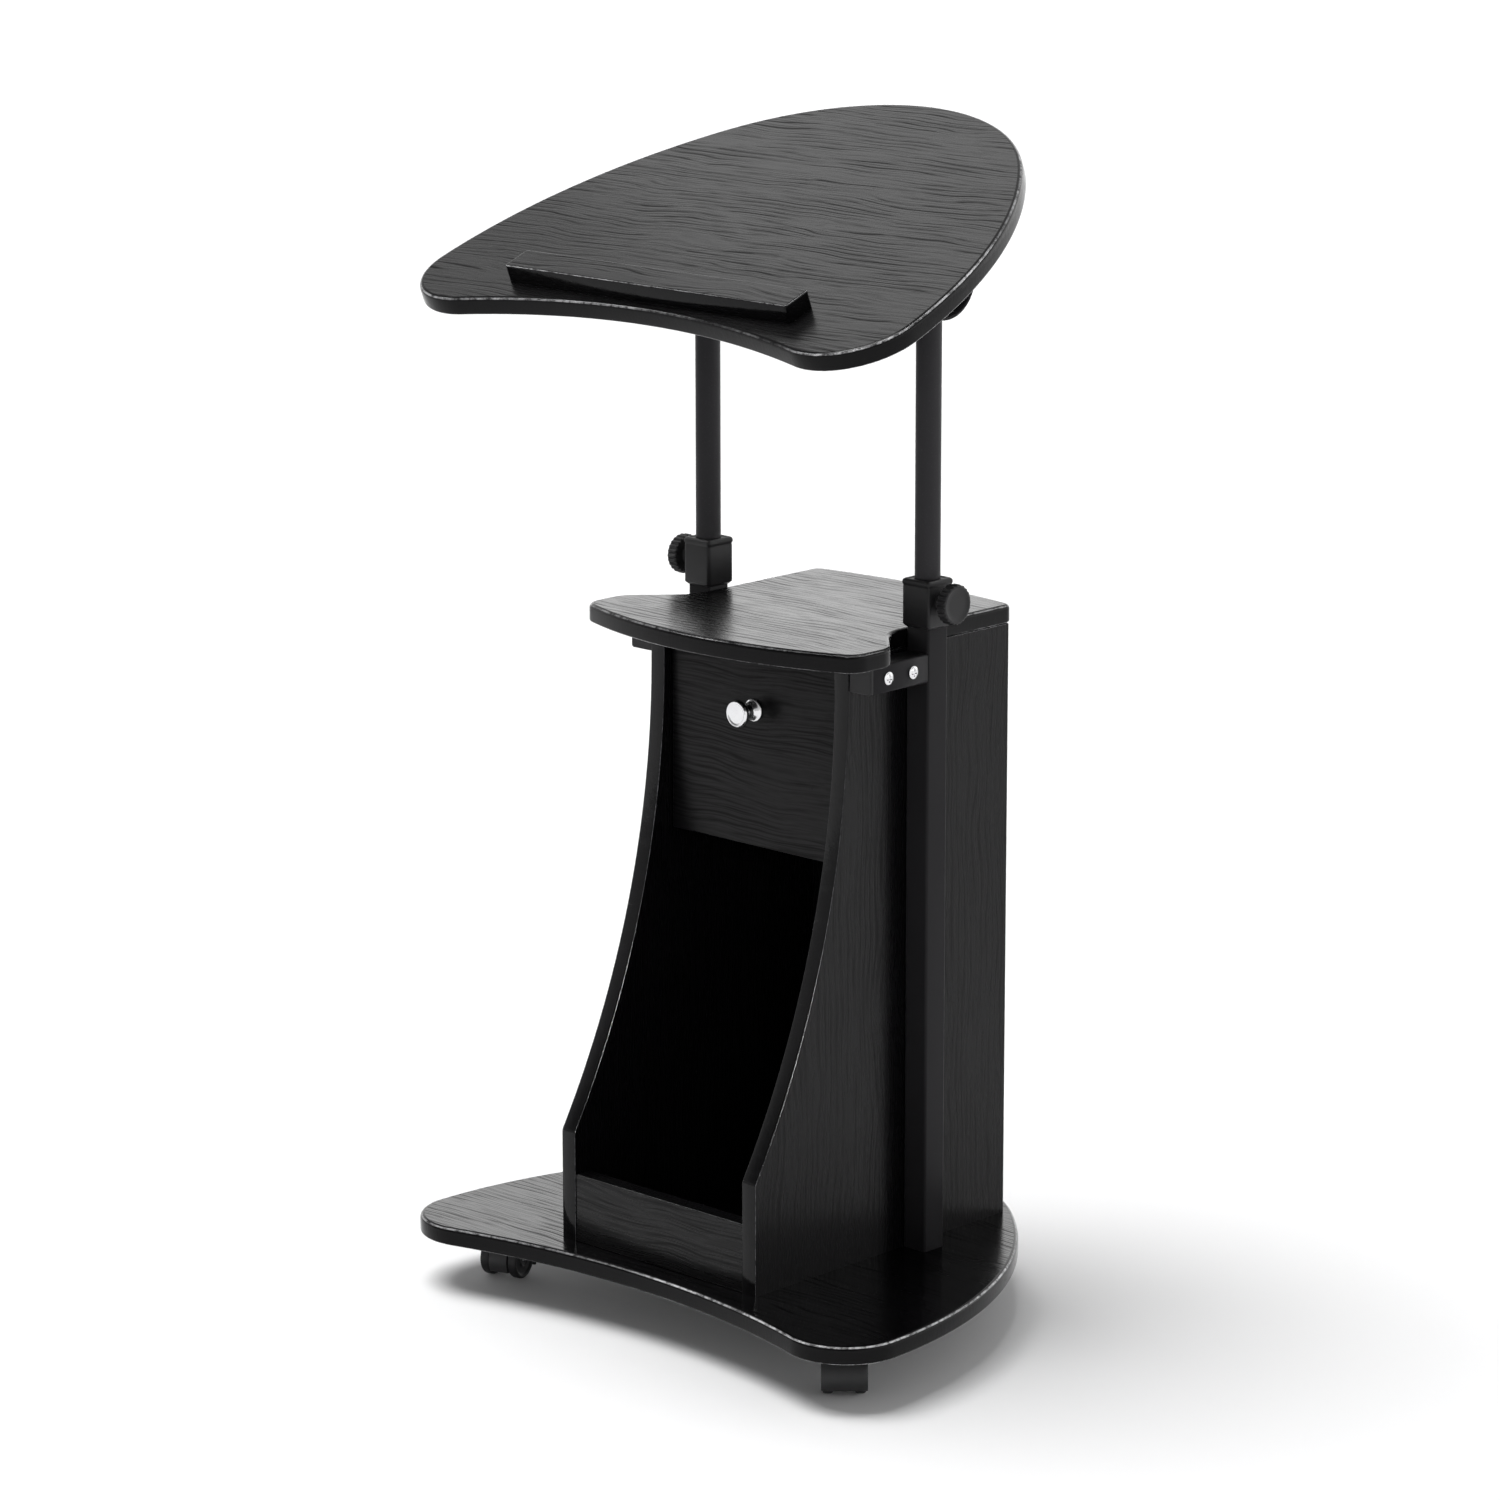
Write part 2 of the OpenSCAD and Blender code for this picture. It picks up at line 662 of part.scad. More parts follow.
// Fluted hand knob along X: hub from x0, grip ring above it. The stud's bore is in the hub.
module hand_knob(d, x0, hub_l, grip_l) difference() {
    union() {
        rod_x(knob_hub_d, x0, x0 + hub_l);
        rod_x(d, x0 + hub_l, x0 + hub_l + grip_l);
    }
    for (turn = [0 : 15 : 345]) {
        rotate([turn, 0, 0]) translate([0, d / 2 + 0.6, 0])
            rod_x(3, x0 + hub_l - overcut, x0 + hub_l + grip_l - 1.5);
    }
    rod_x(stud_d + slip, x0 - overcut, x0 + hub_l + stud_in + slip);
}

module clamp_knob() translate([0, post_y, clamp_z])
    hand_knob(clamp_knob_d, clamp_knob_x, knob_hub_l, clamp_grip_l);
module left_clamp_knob() color([0.06, 0.06, 0.06]) mirror([1, 0, 0]) clamp_knob();
module right_clamp_knob() color([0.06, 0.06, 0.06]) clamp_knob();

module clamp_stud() translate([0, post_y, clamp_z])
    rod_x(stud_d, post_x + tube_d / 2 + slip, clamp_knob_x + knob_hub_l + stud_in);
module left_clamp_stud() color([0.72, 0.73, 0.75]) mirror([1, 0, 0]) clamp_stud();
module right_clamp_stud() color([0.72, 0.73, 0.75]) clamp_stud();

// ---------------------------------------------------------------- sliding tubes and tilt

module tube() difference() {
    translate([post_x, post_y, tube_top - tube_l]) difference() {
        cylinder(d = tube_d, h = tube_l);
        translate([0, 0, -overcut]) cylinder(d = tube_d - 2 * tube_wall, h = tube_l + 2 * overcut);
    }
    translate([0, post_y, pivot_z]) rod_x(pivot_d + slip, post_x - post_s, post_x + post_s);
    translate([0, post_y, lock_z]) rod_x(lock_d + slip, post_x - post_s, post_x + post_s);
}

module left_tube() color([0.13, 0.13, 0.14]) mirror([1, 0, 0]) tube();
module right_tube() color([0.13, 0.13, 0.14]) tube();

// Guide at the lower end of each tube, running inside the square post
module tube_bushes() color([0.20, 0.20, 0.20]) both_sides() {
    translate([post_x - post_in / 2 + slip, post_y - post_in / 2 + slip, tube_top - tube_l - bush_t])
        cube([post_in - 2 * slip, post_in - 2 * slip, bush_t]);
    translate([post_x, post_y, tube_top - tube_l]) cylinder(d = tube_d - 2 * tube_wall - slip, h = bush_in);
}

module pivot_rod() color([0.55, 0.56, 0.58]) translate([0, post_y, pivot_z])
    rod_x(pivot_d, -bracket_x - bracket_t - rod_over, bracket_x + bracket_t + rod_over);

module pivot_nuts() color([0.55, 0.56, 0.58]) both_sides() translate([0, post_y, pivot_z]) difference() {
    translate([bracket_x + bracket_t + deep, 0, 0]) rotate([0, 90, 0]) cylinder(d = 14, h = nut_h, $fn = 6);
    rod_x(pivot_d + slip, post_x, bracket_x + bracket_t + 2 * nut_h);
}

// Side view of a bracket's cheek, drawn in by inset at its edges, up to the height top
module cheek(inset, top) {
    lean = (bracket_half - cheek_half) / (desk_rise + cheek_drop);
    foot = cheek_half - inset * sqrt(1 + lean * lean);
    head = foot + lean * (top + cheek_drop);
    circle(bracket_r - inset);
    polygon([[-foot, -cheek_drop], [foot, -cheek_drop], [head, top], [-head, top]]);
}

// Pressed steel angle: a cheek with the pivot hole and the curved lock slot, its edges turned
// outward, and a flange under the desk board
module tilt_bracket() desk_frame() difference() {
    union() {
        slab_x(bracket_x, bracket_x + bracket_t + rim_h) cheek(0, desk_rise);
        block([bracket_x + bracket_t - flange_w, -bracket_half, desk_rise - bracket_t],
              [bracket_x + bracket_t + rim_h, bracket_half, desk_rise]);
    }
    slab_x(bracket_x + bracket_t, bracket_x + bracket_t + rim_h + overcut)
        cheek(bracket_t, desk_rise - bracket_t);
    slab_x(bracket_x - overcut, bracket_x + bracket_t + overcut) {
        circle(d = pivot_d + slip);
        lock_slot();
    }
    for (y = bracket_screws_y) {
        translate([bracket_screw_x, y, desk_rise - bracket_t - overcut])
            cylinder(d = wood_screw_d + slip, h = bracket_t + 2 * overcut);
    }
}

// Square-ended slot that runs from the desk laid flat to the desk at its steepest
module lock_slot() {
    intersection() {
        difference() {
            circle(lock_r + slot_w / 2);
            circle(lock_r - slot_w / 2);
        }
        polygon([[0, 0], 60 * [cos(slot_steep), sin(slot_steep)], 60 * [cos(slot_flat), sin(slot_flat)]]);
    }
}

module left_tilt_bracket() color([0.10, 0.10, 0.11]) mirror([1, 0, 0]) tilt_bracket();
module right_tilt_bracket() color([0.10, 0.10, 0.11]) tilt_bracket();

module bracket_screws() color([0.72, 0.73, 0.75]) both_sides() desk_frame() {
    for (y = bracket_screws_y) {
        translate([bracket_screw_x, y, desk_rise - bracket_t])
            screw(wood_screw_d, bracket_t + desk_screw_in - 1, wood_head_d, wood_head_h);
    }
}

module tilt_bolts() color([0.55, 0.56, 0.58]) both_sides() translate([0, post_y, lock_z]) {
    rod_x(lock_d, tilt_knob_x - knob_hub_l - 3, bracket_x + bracket_t + deep);
    rod_x(14, bracket_x + bracket_t + deep, bracket_x + bracket_t + lock_head_t);
}

// The same fluted knob on the inner side of the tube, facing the middle
module tilt_knob() translate([2 * tilt_knob_x, post_y, lock_z]) mirror([1, 0, 0])
    hand_knob(tilt_knob_d, tilt_knob_x, knob_hub_l, tilt_grip_l);
module left_tilt_knob() color([0.06, 0.06, 0.06]) mirror([1, 0, 0]) tilt_knob();
module right_tilt_knob() color([0.06, 0.06, 0.06]) tilt_knob();

// ---------------------------------------------------------------- desk

module ledge_screw_places() {
    for (x = ledge_screws_x) translate([x, ledge_v + ledge_d / 2, desk_rise]) children();
}

module desk_board() color([0.15, 0.15, 0.16]) desk_frame() difference() {
    translate([0, -desk_reach, desk_rise]) linear_extrude(board_t)
        rounded_triangle(desk_w, desk_d, desk_corner_r, desk_back_r, desk_side_r, desk_front_r);
    ledge_screw_places() {
        translate([0, 0, -overcut]) cylinder(d = wood_screw_d + slip, h = board_t + 2 * overcut);
        translate([0, 0, -overcut]) cylinder(d = wood_head_d + slip, h = ledge_head_t + overcut + slip);
    }
    both_sides() {
        for (y = bracket_screws_y) {
            translate([bracket_screw_x, y, desk_rise - overcut])
                cylinder(d = wood_screw_d + slip, h = overcut + desk_screw_in + deep);
        }
    }
}

module book_ledge() color([0.12, 0.12, 0.13]) desk_frame() difference() {
    block([-ledge_l / 2, ledge_v, desk_board_z], [ledge_l / 2, ledge_v + ledge_d, desk_board_z + ledge_h]);
    ledge_screw_places() cylinder(d = wood_screw_d + slip, h = board_t + ledge_screw_in + deep);
}

module ledge_screws() color([0.72, 0.73, 0.75]) desk_frame() {
    ledge_screw_places() translate([0, 0, ledge_head_t])
        screw(wood_screw_d, board_t - ledge_head_t + ledge_screw_in, wood_head_d, ledge_head_t - deep);
}

// ---------------------------------------------------------------- casters

module plate_screw_bores() {
    for (x = [-plate_screw, plate_screw], y = [-plate_screw, plate_screw]) {
        translate([x, y, caster_h - plate_t - overcut])
            cylinder(d = small_screw_d + slip, h = overcut + plate_screw_l + deep);
    }
}

module caster_plates() color([0.70, 0.71, 0.73]) {
    for (spot = caster_spots) translate([spot[0], spot[1], 0]) {
        difference() {
            translate([-plate_s / 2, -plate_s / 2, caster_h - plate_t]) cube([plate_s, plate_s, plate_t]);
            plate_screw_bores();
        }
        translate([0, 0, hood_top - pin_l]) cylinder(d = swivel_d, h = caster_h - plate_t - hood_top + pin_l);
    }
}

module caster_screws() color([0.72, 0.73, 0.75]) {
    for (spot = caster_spots, x = [-plate_screw, plate_screw], y = [-plate_screw, plate_screw]) {
        translate([spot[0] + x, spot[1] + y, caster_h - plate_t])
            screw(small_screw_d, plate_screw_l, small_head_d, plate_head_h);
    }
}

// Places its children in the frame of caster i: the swivel is the Z axis and the axle is at Y = -caster_trail
module caster(i) {
    translate([caster_spots[i][0], caster_spots[i][1], 0]) rotate([0, 0, caster_spots[i][2]]) children();
}

module axle_place() {
    translate([0, -caster_trail, wheel_r]) children();
}

// Middle web between the wheels, with a fender over both that comes down on the trailing side
module hood(i) color([0.11, 0.11, 0.12]) caster(i) difference() {
    union() {
        axle_place() slab_x(-web_half, web_half) circle(wheel_r + fender_t);
        axle_place() slab_x(-hood_w / 2, hood_w / 2) difference() {
            circle(wheel_r + fender_gap + fender_t);
            circle(wheel_r + fender_gap);
            translate([fender_front, -wheel_d]) square(2 * wheel_d);
            translate([-wheel_d, -2 * wheel_d - wheel_r + fender_foot]) square(2 * wheel_d);
        }
        translate([0, 0, hood_top - neck_h]) cylinder(d = neck_d, h = neck_h);
    }
    translate([0, 0, hood_top - pin_l - slip]) cylinder(d = swivel_d + slip, h = pin_l + overcut);
    axle_place() rod_x(axle_d + slip, -hood_w, hood_w);
    translate([-hood_w, -hood_w, -overcut]) cube([2 * hood_w, 2 * hood_w, web_foot + overcut]);
}

module wheels(i) color([0.08, 0.08, 0.08]) caster(i) axle_place() both_sides() {
    difference() {
        rod_x(wheel_d, wheel_gap / 2, wheel_gap / 2 + wheel_w);
        rod_x(axle_d, wheel_gap / 2 - overcut, wheel_gap / 2 + wheel_w - 2);
    }
}

module axle(i) color([0.60, 0.61, 0.63]) caster(i) axle_place()
    rod_x(axle_d, -wheel_gap / 2 - wheel_w + 2, wheel_gap / 2 + wheel_w - 2);

module front_left_hood() hood(0);
module front_right_hood() hood(1);
module rear_left_hood() hood(2);
module rear_right_hood() hood(3);
module front_left_wheels() wheels(0);
module front_right_wheels() wheels(1);
module rear_left_wheels() wheels(2);
module rear_right_wheels() wheels(3);
module front_left_axle() axle(0);
module front_right_axle() axle(1);
module rear_left_axle() axle(2);
module rear_right_axle() axle(3);

// ---------------------------------------------------------------- nodes

base_board();
left_side_panel();
right_side_panel();
back_panel();
kick_panel();
divider_panel();
top_shelf();
panel_screws();
panel_dowels();
drawer_front();
drawer_left_side();
drawer_right_side();
drawer_back();
drawer_bottom();
drawer_pull();
drawer_screws();
drawer_dowels();
drawer_runners();
runner_screws();
left_post();
right_post();
post_plugs();
post_bolts();
post_arms();
arm_caps();
arm_screws();
left_collar();
right_collar();
left_clamp_knob();
right_clamp_knob();
left_clamp_stud();
right_clamp_stud();
left_tube();
right_tube();
tube_bushes();
pivot_rod();
pivot_nuts();
left_tilt_bracket();
right_tilt_bracket();
bracket_screws();
tilt_bolts();
left_tilt_knob();
right_tilt_knob();
desk_board();
book_ledge();
ledge_screws();
caster_plates();
caster_screws();
front_left_hood();
front_right_hood();
rear_left_hood();
rear_right_hood();
front_left_wheels();
front_right_wheels();
rear_left_wheels();
rear_right_wheels();
front_left_axle();
front_right_axle();
rear_left_axle();
rear_right_axle();
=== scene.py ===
# Looks of the rolling lectern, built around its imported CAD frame. Lengths are millimetres
# until a mesh is made, in the frame of the record: +Z up, -Y the user's side.
import json
import math

import bpy
import numpy as np
from mathutils import Matrix, Vector


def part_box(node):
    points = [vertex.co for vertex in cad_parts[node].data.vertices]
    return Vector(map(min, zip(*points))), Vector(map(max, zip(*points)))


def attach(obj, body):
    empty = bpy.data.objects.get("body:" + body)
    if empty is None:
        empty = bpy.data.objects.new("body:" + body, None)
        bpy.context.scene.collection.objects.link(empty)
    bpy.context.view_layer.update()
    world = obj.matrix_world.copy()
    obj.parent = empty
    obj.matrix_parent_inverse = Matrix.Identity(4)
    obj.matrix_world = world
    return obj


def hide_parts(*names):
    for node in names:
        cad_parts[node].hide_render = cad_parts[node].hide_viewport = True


MM = 0.001
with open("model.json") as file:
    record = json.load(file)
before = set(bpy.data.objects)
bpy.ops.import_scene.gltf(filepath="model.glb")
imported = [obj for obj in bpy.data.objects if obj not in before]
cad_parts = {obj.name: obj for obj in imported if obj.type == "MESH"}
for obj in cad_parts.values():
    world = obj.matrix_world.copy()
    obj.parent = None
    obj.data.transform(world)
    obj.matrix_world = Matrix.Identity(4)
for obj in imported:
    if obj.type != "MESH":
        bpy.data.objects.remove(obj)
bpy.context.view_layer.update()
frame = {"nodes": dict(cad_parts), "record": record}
record = frame["record"]
joints = {j["name"]: j for j in record["behaviour"]["joints"]}
slot_of = {s["node"]: s["material_slot"] for s in record["subparts"]}
body_of = {n: b for b, nodes in record["behaviour"]["bodies"].items() for n in nodes}


def box(node):
    """Lowest and highest corner of a CAD node, in millimetres."""
    low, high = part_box(node)
    return [v / MM for v in low], [v / MM for v in high]


def new_object(name, data):
    obj = bpy.data.objects.new(name, data)
    bpy.context.scene.collection.objects.link(obj)
    return obj


# ------------------------------------------------------------------ camera

AZIMUTH, ELEVATION, ROLL = 43.73, 13.49, -0.085   # degrees
TARGET = Vector((-2.8, -39.6, 498.2))
DISTANCE = 4734.4
LENS = 132.46                                     # on a 36 mm sensor


def make_camera():
    a, e, r = map(math.radians, (AZIMUTH, ELEVATION, ROLL))
    back = Vector((math.sin(a) * math.cos(e), -math.cos(a) * math.cos(e), math.sin(e)))
    right = (-back).cross(Vector((0, 0, 1))).normalized()
    up = right.cross(-back)
    turned = right * math.cos(r) + up * math.sin(r)
    up = up * math.cos(r) - right * math.sin(r)
    data = bpy.data.cameras.new("camera")
    data.lens, data.sensor_width = LENS, 36
    data.clip_start, data.clip_end = 0.1, 100
    camera = new_object("camera", data)
    facing = Matrix((turned, up, back)).transposed().to_4x4()
    camera.matrix_world = Matrix.Translation((TARGET + back * DISTANCE) * MM) @ facing
    bpy.context.scene.camera = camera


make_camera()

# ------------------------------------------------------------------ outlines
# An outline is a closed list of (point, outward normal) pairs, counterclockwise.


def arc(centre, radius, start, end, step=2.5, inward=False):
    """Points from angle start to end, in degrees. inward is for the hollow side of an edge."""
    n = max(2, int(abs(math.radians(end - start)) * radius / step) + 1, int(abs(end - start) / 7.5) + 1)
    out = []
    for k in range(n + 1):
        t = math.radians(start + (end - start) * k / n)
        d = np.array([math.cos(t), math.sin(t)])
        out.append((np.array(centre) + radius * d, -d if inward else d))
    return out


def angle(a, b):
    return math.degrees(math.atan2(b[1] - a[1], b[0] - a[0]))


def mirrored(half):
    """Adds the mirror image on the left of x = 0 to a right half that runs from x = 0 round to x = 0."""
    left = [(np.array([-p[0], p[1]]), np.array([-n[0], n[1]])) for p, n in reversed(half)]
    keep = [q for q in left if abs(q[0][0]) > 1e-6]
    return half + keep


def rounded_triangle(width, depth, corner_r, back_r, side_r, front_r):
    """The outline that the desk board and the base board share. The front corners touch y = 0."""
    a = np.array([width / 2 - corner_r, corner_r])
    b = np.array([0.0, depth - back_r])
    d = np.linalg.norm(b - a)
    e = (b - a) / d
    along = ((side_r - corner_r) ** 2 - (side_r - back_r) ** 2 + d * d) / (2 * d)
    across = math.sqrt((side_r - corner_r) ** 2 - along ** 2)
    s = a + along * e + across * np.array([-e[1], e[0]])
    f = np.array([0.0, a[1] - math.sqrt((front_r + corner_r) ** 2 - a[0] ** 2)])
    half = arc(f, front_r, 90, angle(f, a), 6, inward=True)
    half += arc(a, corner_r, angle(a, f), angle(s, a))[1:]
    half += arc(s, side_r, angle(s, a), angle(s, b), 6)[1:]
    half += arc(b, back_r, angle(s, b), 90, 5)[1:]
    return mirrored(half)


def shelf_outline(width, rear_width, front, back):
    """The top shelf: bowed front, two rounded wings, slanted edges, a narrower rear."""
    front_r, tip_r, wing_r, fillet_r, back_r, rear_r = 400, 20, 25, 40, 650, 10
    slant = np.array([0.72, 0.694])
    fc = np.array([0.0, front + front_r])
    cx = width / 2 - tip_r
    corner = np.array([cx, fc[1] - math.sqrt((front_r - tip_r) ** 2 - cx ** 2)])
    wing = np.array([width / 2 - wing_r, -49.0])
    level = (wing + wing_r * slant) @ slant
    fx = rear_width / 2 + fillet_r
    fillet = np.array([fx, (level + fillet_r - fx * slant[0]) / slant[1]])
    bc = np.array([0.0, back - back_r])
    bx = rear_width / 2 - rear_r
    rear = np.array([bx, bc[1] + math.sqrt((back_r - rear_r) ** 2 - bx ** 2)])
    slope = math.degrees(math.atan2(slant[1], slant[0]))
    half = arc(fc, front_r, -90, angle(fc, corner), 5)
    half += arc(corner, tip_r, angle(fc, corner), 0)[1:]
    half += arc(wing, wing_r, 0, slope)
    half += arc(fillet, fillet_r, slope + 180, 180, inward=True)
    half += arc(rear, rear_r, 0, angle(bc, rear))
    half += arc(bc, back_r, angle(bc, rear), 90, 5)[1:]
    return mirrored(half)


def filleted(points, radii):
    """A polygon, counterclockwise, with its corners rounded. A corner of radius 0 is a point on a curve."""
    out = []
    n = len(points)
    for i in range(n):
        p, a, b = (np.array(points[j % n], float) for j in (i, i - 1, i + 1))
        u, v = a - p, b - p
        u, v = u / np.linalg.norm(u), v / np.linalg.norm(v)
        r = radii[i]
        if r == 0:
            left = np.array([-u[1], u[0]])
            normal = left if np.linalg.norm(u + v) < 1e-4 else -(u + v)
            normal = normal / np.linalg.norm(normal)
            out.append((p, -normal if normal @ left < 0 else normal))
            continue
        turn = -u[0] * v[1] + u[1] * v[0]          # > 0 on a corner that bulges
        half = math.acos(max(-1, min(1, float(u @ v)))) / 2
        centre = p + (u + v) / np.linalg.norm(u + v) * (r / math.sin(half))
        first = p + u * (r / math.tan(half))
        last = p + v * (r / math.tan(half))
        s, e = angle(centre, first), angle(centre, last)
        if turn > 0 and e < s:
            e += 360
        elif turn <= 0 and e > s:
            e -= 360
        out += arc(centre, r, s, e, 2.5, inward=turn < 0)
    return out


def rectangle(w, h, r, centre=(0, 0)):
    x, y = centre
    return filleted([(x - w / 2, y - h / 2), (x + w / 2, y - h / 2),
                     (x + w / 2, y + h / 2), (x - w / 2, y + h / 2)], [r] * 4)


def circle(r, n, centre=(0, 0)):
    normals = [np.array([math.cos(t), math.sin(t)]) for t in np.linspace(0, 2 * math.pi, n, endpoint=False)]
    return [(np.array(centre) + r * normal, normal) for normal in normals]


# ------------------------------------------------------------------ mesh kit

AXES = {  # matrices that turn a mesh made along +Z
    "z": Matrix.Identity(4),
    "x": Matrix.Rotation(math.pi / 2, 4, "Y"),
    "-x": Matrix.Rotation(-math.pi / 2, 4, "Y"),
    "-y": Matrix.Rotation(math.pi / 2, 4, "X"),
    # outline in (Y, Z), thickness along X
    "yz": Matrix(((0, 0, 1, 0), (1, 0, 0, 0), (0, 1, 0, 0), (0, 0, 0, 1))),
    # outline in (X, Z), thickness along -Y
    "xz": Matrix(((1, 0, 0, 0), (0, 0, -1, 0), (0, 1, 0, 0), (0, 0, 0, 1))),
}


def polar(r, t, z):
    """The point at radius r, angle t (in radians) and height z."""
    return r * math.cos(t), r * math.sin(t), z


def quads(a, b, n):
    """Smooth faces between two rings of n points, whose first points have the indices a and b."""
    return [((a + i, a + (i + 1) % n, b + (i + 1) % n, b + i), True) for i in range(n)]


def shrunk(outline, inset, z):
    """The points of an outline, moved inwards and put at height z."""
    return [(p[0] - n[0] * inset, p[1] - n[1] * inset, z) for p, n in outline]


class Build:
    """Collects vertices and faces in millimetres, each part under its own matrix."""

    def __init__(self):
        self.verts, self.faces, self.smooth, self.material = [], [], [], []

    def add(self, verts, faces, matrix):
        """faces are (vertex indices, smooth) pairs."""
        base = len(self.verts)
        self.verts += [tuple(matrix @ Vector(v)) for v in verts]
        flip = matrix.determinant() < 0
        for f, smooth in faces:
            ids = [base + i for i in f]
            self.faces.append(ids[::-1] if flip else ids)
            self.smooth.append(smooth)
            self.material.append(0)
        return self

    def loft(self, rings, matrix, foot=True, closed=False):
        """Joins rings of equal length, counterclockwise seen from the last ring's side. The first
        and last ring get an end face (foot=False leaves out the first), unless they meet: closed."""
        n, count = len(rings[0]), len(rings)
        faces = []
        for k in range(count if closed else count - 1):
            faces += quads(k * n, (k + 1) % count * n, n)
        if foot and not closed:
            faces.append((tuple(range(n))[::-1], False))
        if not closed:
            faces.append((tuple(range((count - 1) * n, count * n)), False))
        return self.add([v for ring in rings for v in ring], faces, matrix)

    def board(self, outline, low, high, r, matrix, r_low=None, steps=4, edge=None):
        """A plate with its rims rounded: r on the high side, r_low on the low side. edge is the
        material index of its sides and rims, where it differs from the two faces'."""
        r_low = r if r_low is None else r_low
        quarter = [math.pi / 2 * k / steps for k in range(steps + 1)]
        rims = [(r_low * (1 - math.sin(t)), low + r_low * (1 - math.cos(t))) for t in quarter]
        rims += [(r * (1 - math.cos(t)), high - r * (1 - math.sin(t))) for t in quarter]
        # a little less inset, so that a corner as round as the rim doesn't shrink to one point
        self.loft([shrunk(outline, inset * 0.97, z) for inset, z in rims], matrix)
        if edge is not None:
            walls = (len(rims) - 1) * len(outline)
            start = len(self.material) - walls - 2
            self.material[start:start + walls] = [edge] * walls
        return self

    def block(self, low, high, r):
        """A box between two corners with every edge rounded."""
        x, y = ((low[k] + high[k]) / 2 for k in (0, 1))
        outline = rectangle(high[0] - low[0], high[1] - low[1], r)
        return self.board(outline, low[2], high[2], r, at(x, y, 0), steps=3)

    def turn(self, profile, matrix, n):
        """Turns a profile of (radius, height) pairs about Z. A radius of 0 closes an end."""
        verts, faces, rows = [], [], []
        for r, h in profile:
            if r < 1e-6:
                rows.append([len(verts)])
                verts.append((0, 0, h))
            else:
                rows.append(list(range(len(verts), len(verts) + n)))
                verts += [polar(r, 2 * math.pi * k / n, h) for k in range(n)]
        for a, b in zip(rows, rows[1:]):
            for i in range(n):
                j = (i + 1) % n
                if len(a) == 1:
                    faces.append(((a[0], b[j], b[i]), True))
                elif len(b) == 1:
                    faces.append(((a[i], a[j], b[0]), True))
                else:
                    faces.append(((a[i], a[j], b[j], b[i]), True))
        return self.add(verts, faces, matrix)

    def piece(self, name, node, materials=None):
        """Makes the object, puts it on the CAD node's body and lets it stand for that node."""
        mesh = bpy.data.meshes.new(name)
        mesh.from_pydata([(x * MM, y * MM, z * MM) for x, y, z in self.verts], [], self.faces)
        mesh.polygons.foreach_set("use_smooth", self.smooth)
        mesh.polygons.foreach_set("material_index", self.material)
        mesh.update()
        mesh.validate()
        obj = new_object(name, mesh)
        for m in materials or [slot_of[node]]:
            mesh.materials.append(MATERIALS[m])
        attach(obj, body_of[node])
        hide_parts(node)


def softened(points, r, steps=4):
    """Rounds the corners of an open profile of (radius, height) pairs by at most r."""
    out = [points[0]]
    for a, p, b in zip(points, points[1:], points[2:]):
        a, p, b = (np.array(q, float) for q in (a, p, b))
        la, lb = np.linalg.norm(a - p), np.linalg.norm(b - p)
        cut = min(r, 0.45 * la, 0.45 * lb)
        first, last = p + (a - p) / la * cut, p + (b - p) / lb * cut
        for k in range(steps + 1):
            t = k / steps
            out.append(tuple((1 - t) ** 2 * first + 2 * t * (1 - t) * p + t * t * last))
    out.append(points[-1])
    return out


def at(x, y, z, axis="z"):
    return Matrix.Translation((x, y, z)) @ AXES[axis]


MIRROR = Matrix.Scale(-1, 4, (1, 0, 0))
SIDES = (("left", MIRROR), ("right", Matrix.Identity(4)))


def screw(build, matrix, length, d, head_d, head_h, countersunk=False):
    """A cross-recess screw: shank along +Z from z = 0, head below it."""
    n, rows = 64, 14
    verts, faces = [], []
    arm, slot_w, depth = head_d * 0.30, head_d * 0.085, head_h * 0.75
    rim_h, dome_h = (0.88, 0.12) if countersunk else (0.45, 0.55)
    for k in range(rows + 1):
        f = k / rows
        for i in range(n):
            x, y, _ = polar(head_d / 2 * f, 2 * math.pi * i / n, 0)
            dome = head_h * dome_h * (1 - f ** 2.2)
            u, v = min(abs(x), abs(y)), max(abs(x), abs(y))
            inside = max(0.0, min(1.0, (slot_w * 1.4 - u) / (slot_w * 0.5)))
            inside *= max(0.0, min(1.0, (arm * 1.15 - v) / (arm * 0.3)))
            verts.append((x, y, -(head_h * rim_h + dome - depth * inside * (1 - 0.5 * f))))
    for k in range(rows):
        faces += quads((k + 1) * n, k * n, n)
    faces.append((tuple(range(n)), True))
    side = [(head_d / 2, -head_h * 0.3), (head_d / 2 * 0.97, -head_h * 0.05), (d / 2, 0.0)]
    if countersunk:
        side = [(head_d / 2, -head_h * 0.8), (d / 2, 0.0)]
    side += [(d / 2, length * 0.8), (d / 2 * 0.9, length * 0.86), (0.3, length)]
    for r, z in side:
        verts += [polar(r, 2 * math.pi * i / n, z) for i in range(n)]
    for k in range(len(side)):
        faces += quads((rows + k) * n, (rows + k + 1) * n, n)
    faces.append((tuple(range(len(verts) - n, len(verts))), True))
    return build.add(verts, faces, matrix)


def thread(build, matrix, length, d, pitch=1.0, n=20):
    """A threaded rod along +Z from z = 0, with chamfered ends."""
    count = max(4, int(length / pitch * 4))       # four rings a turn
    rings = []
    for k in range(count + 1):
        z = length * k / count
        chamfer = max(0.0, 0.8 - min(z, length - z)) * 0.9
        ring = []
        for i in range(n):
            phase = (z / pitch - i / n) % 1.0
            r = min(d / 2 - pitch * 0.45 * abs(2 * phase - 1), d / 2 - chamfer)
            ring.append(polar(r, 2 * math.pi * i / n, z))
        rings.append(ring)
    return build.loft(rings, matrix)


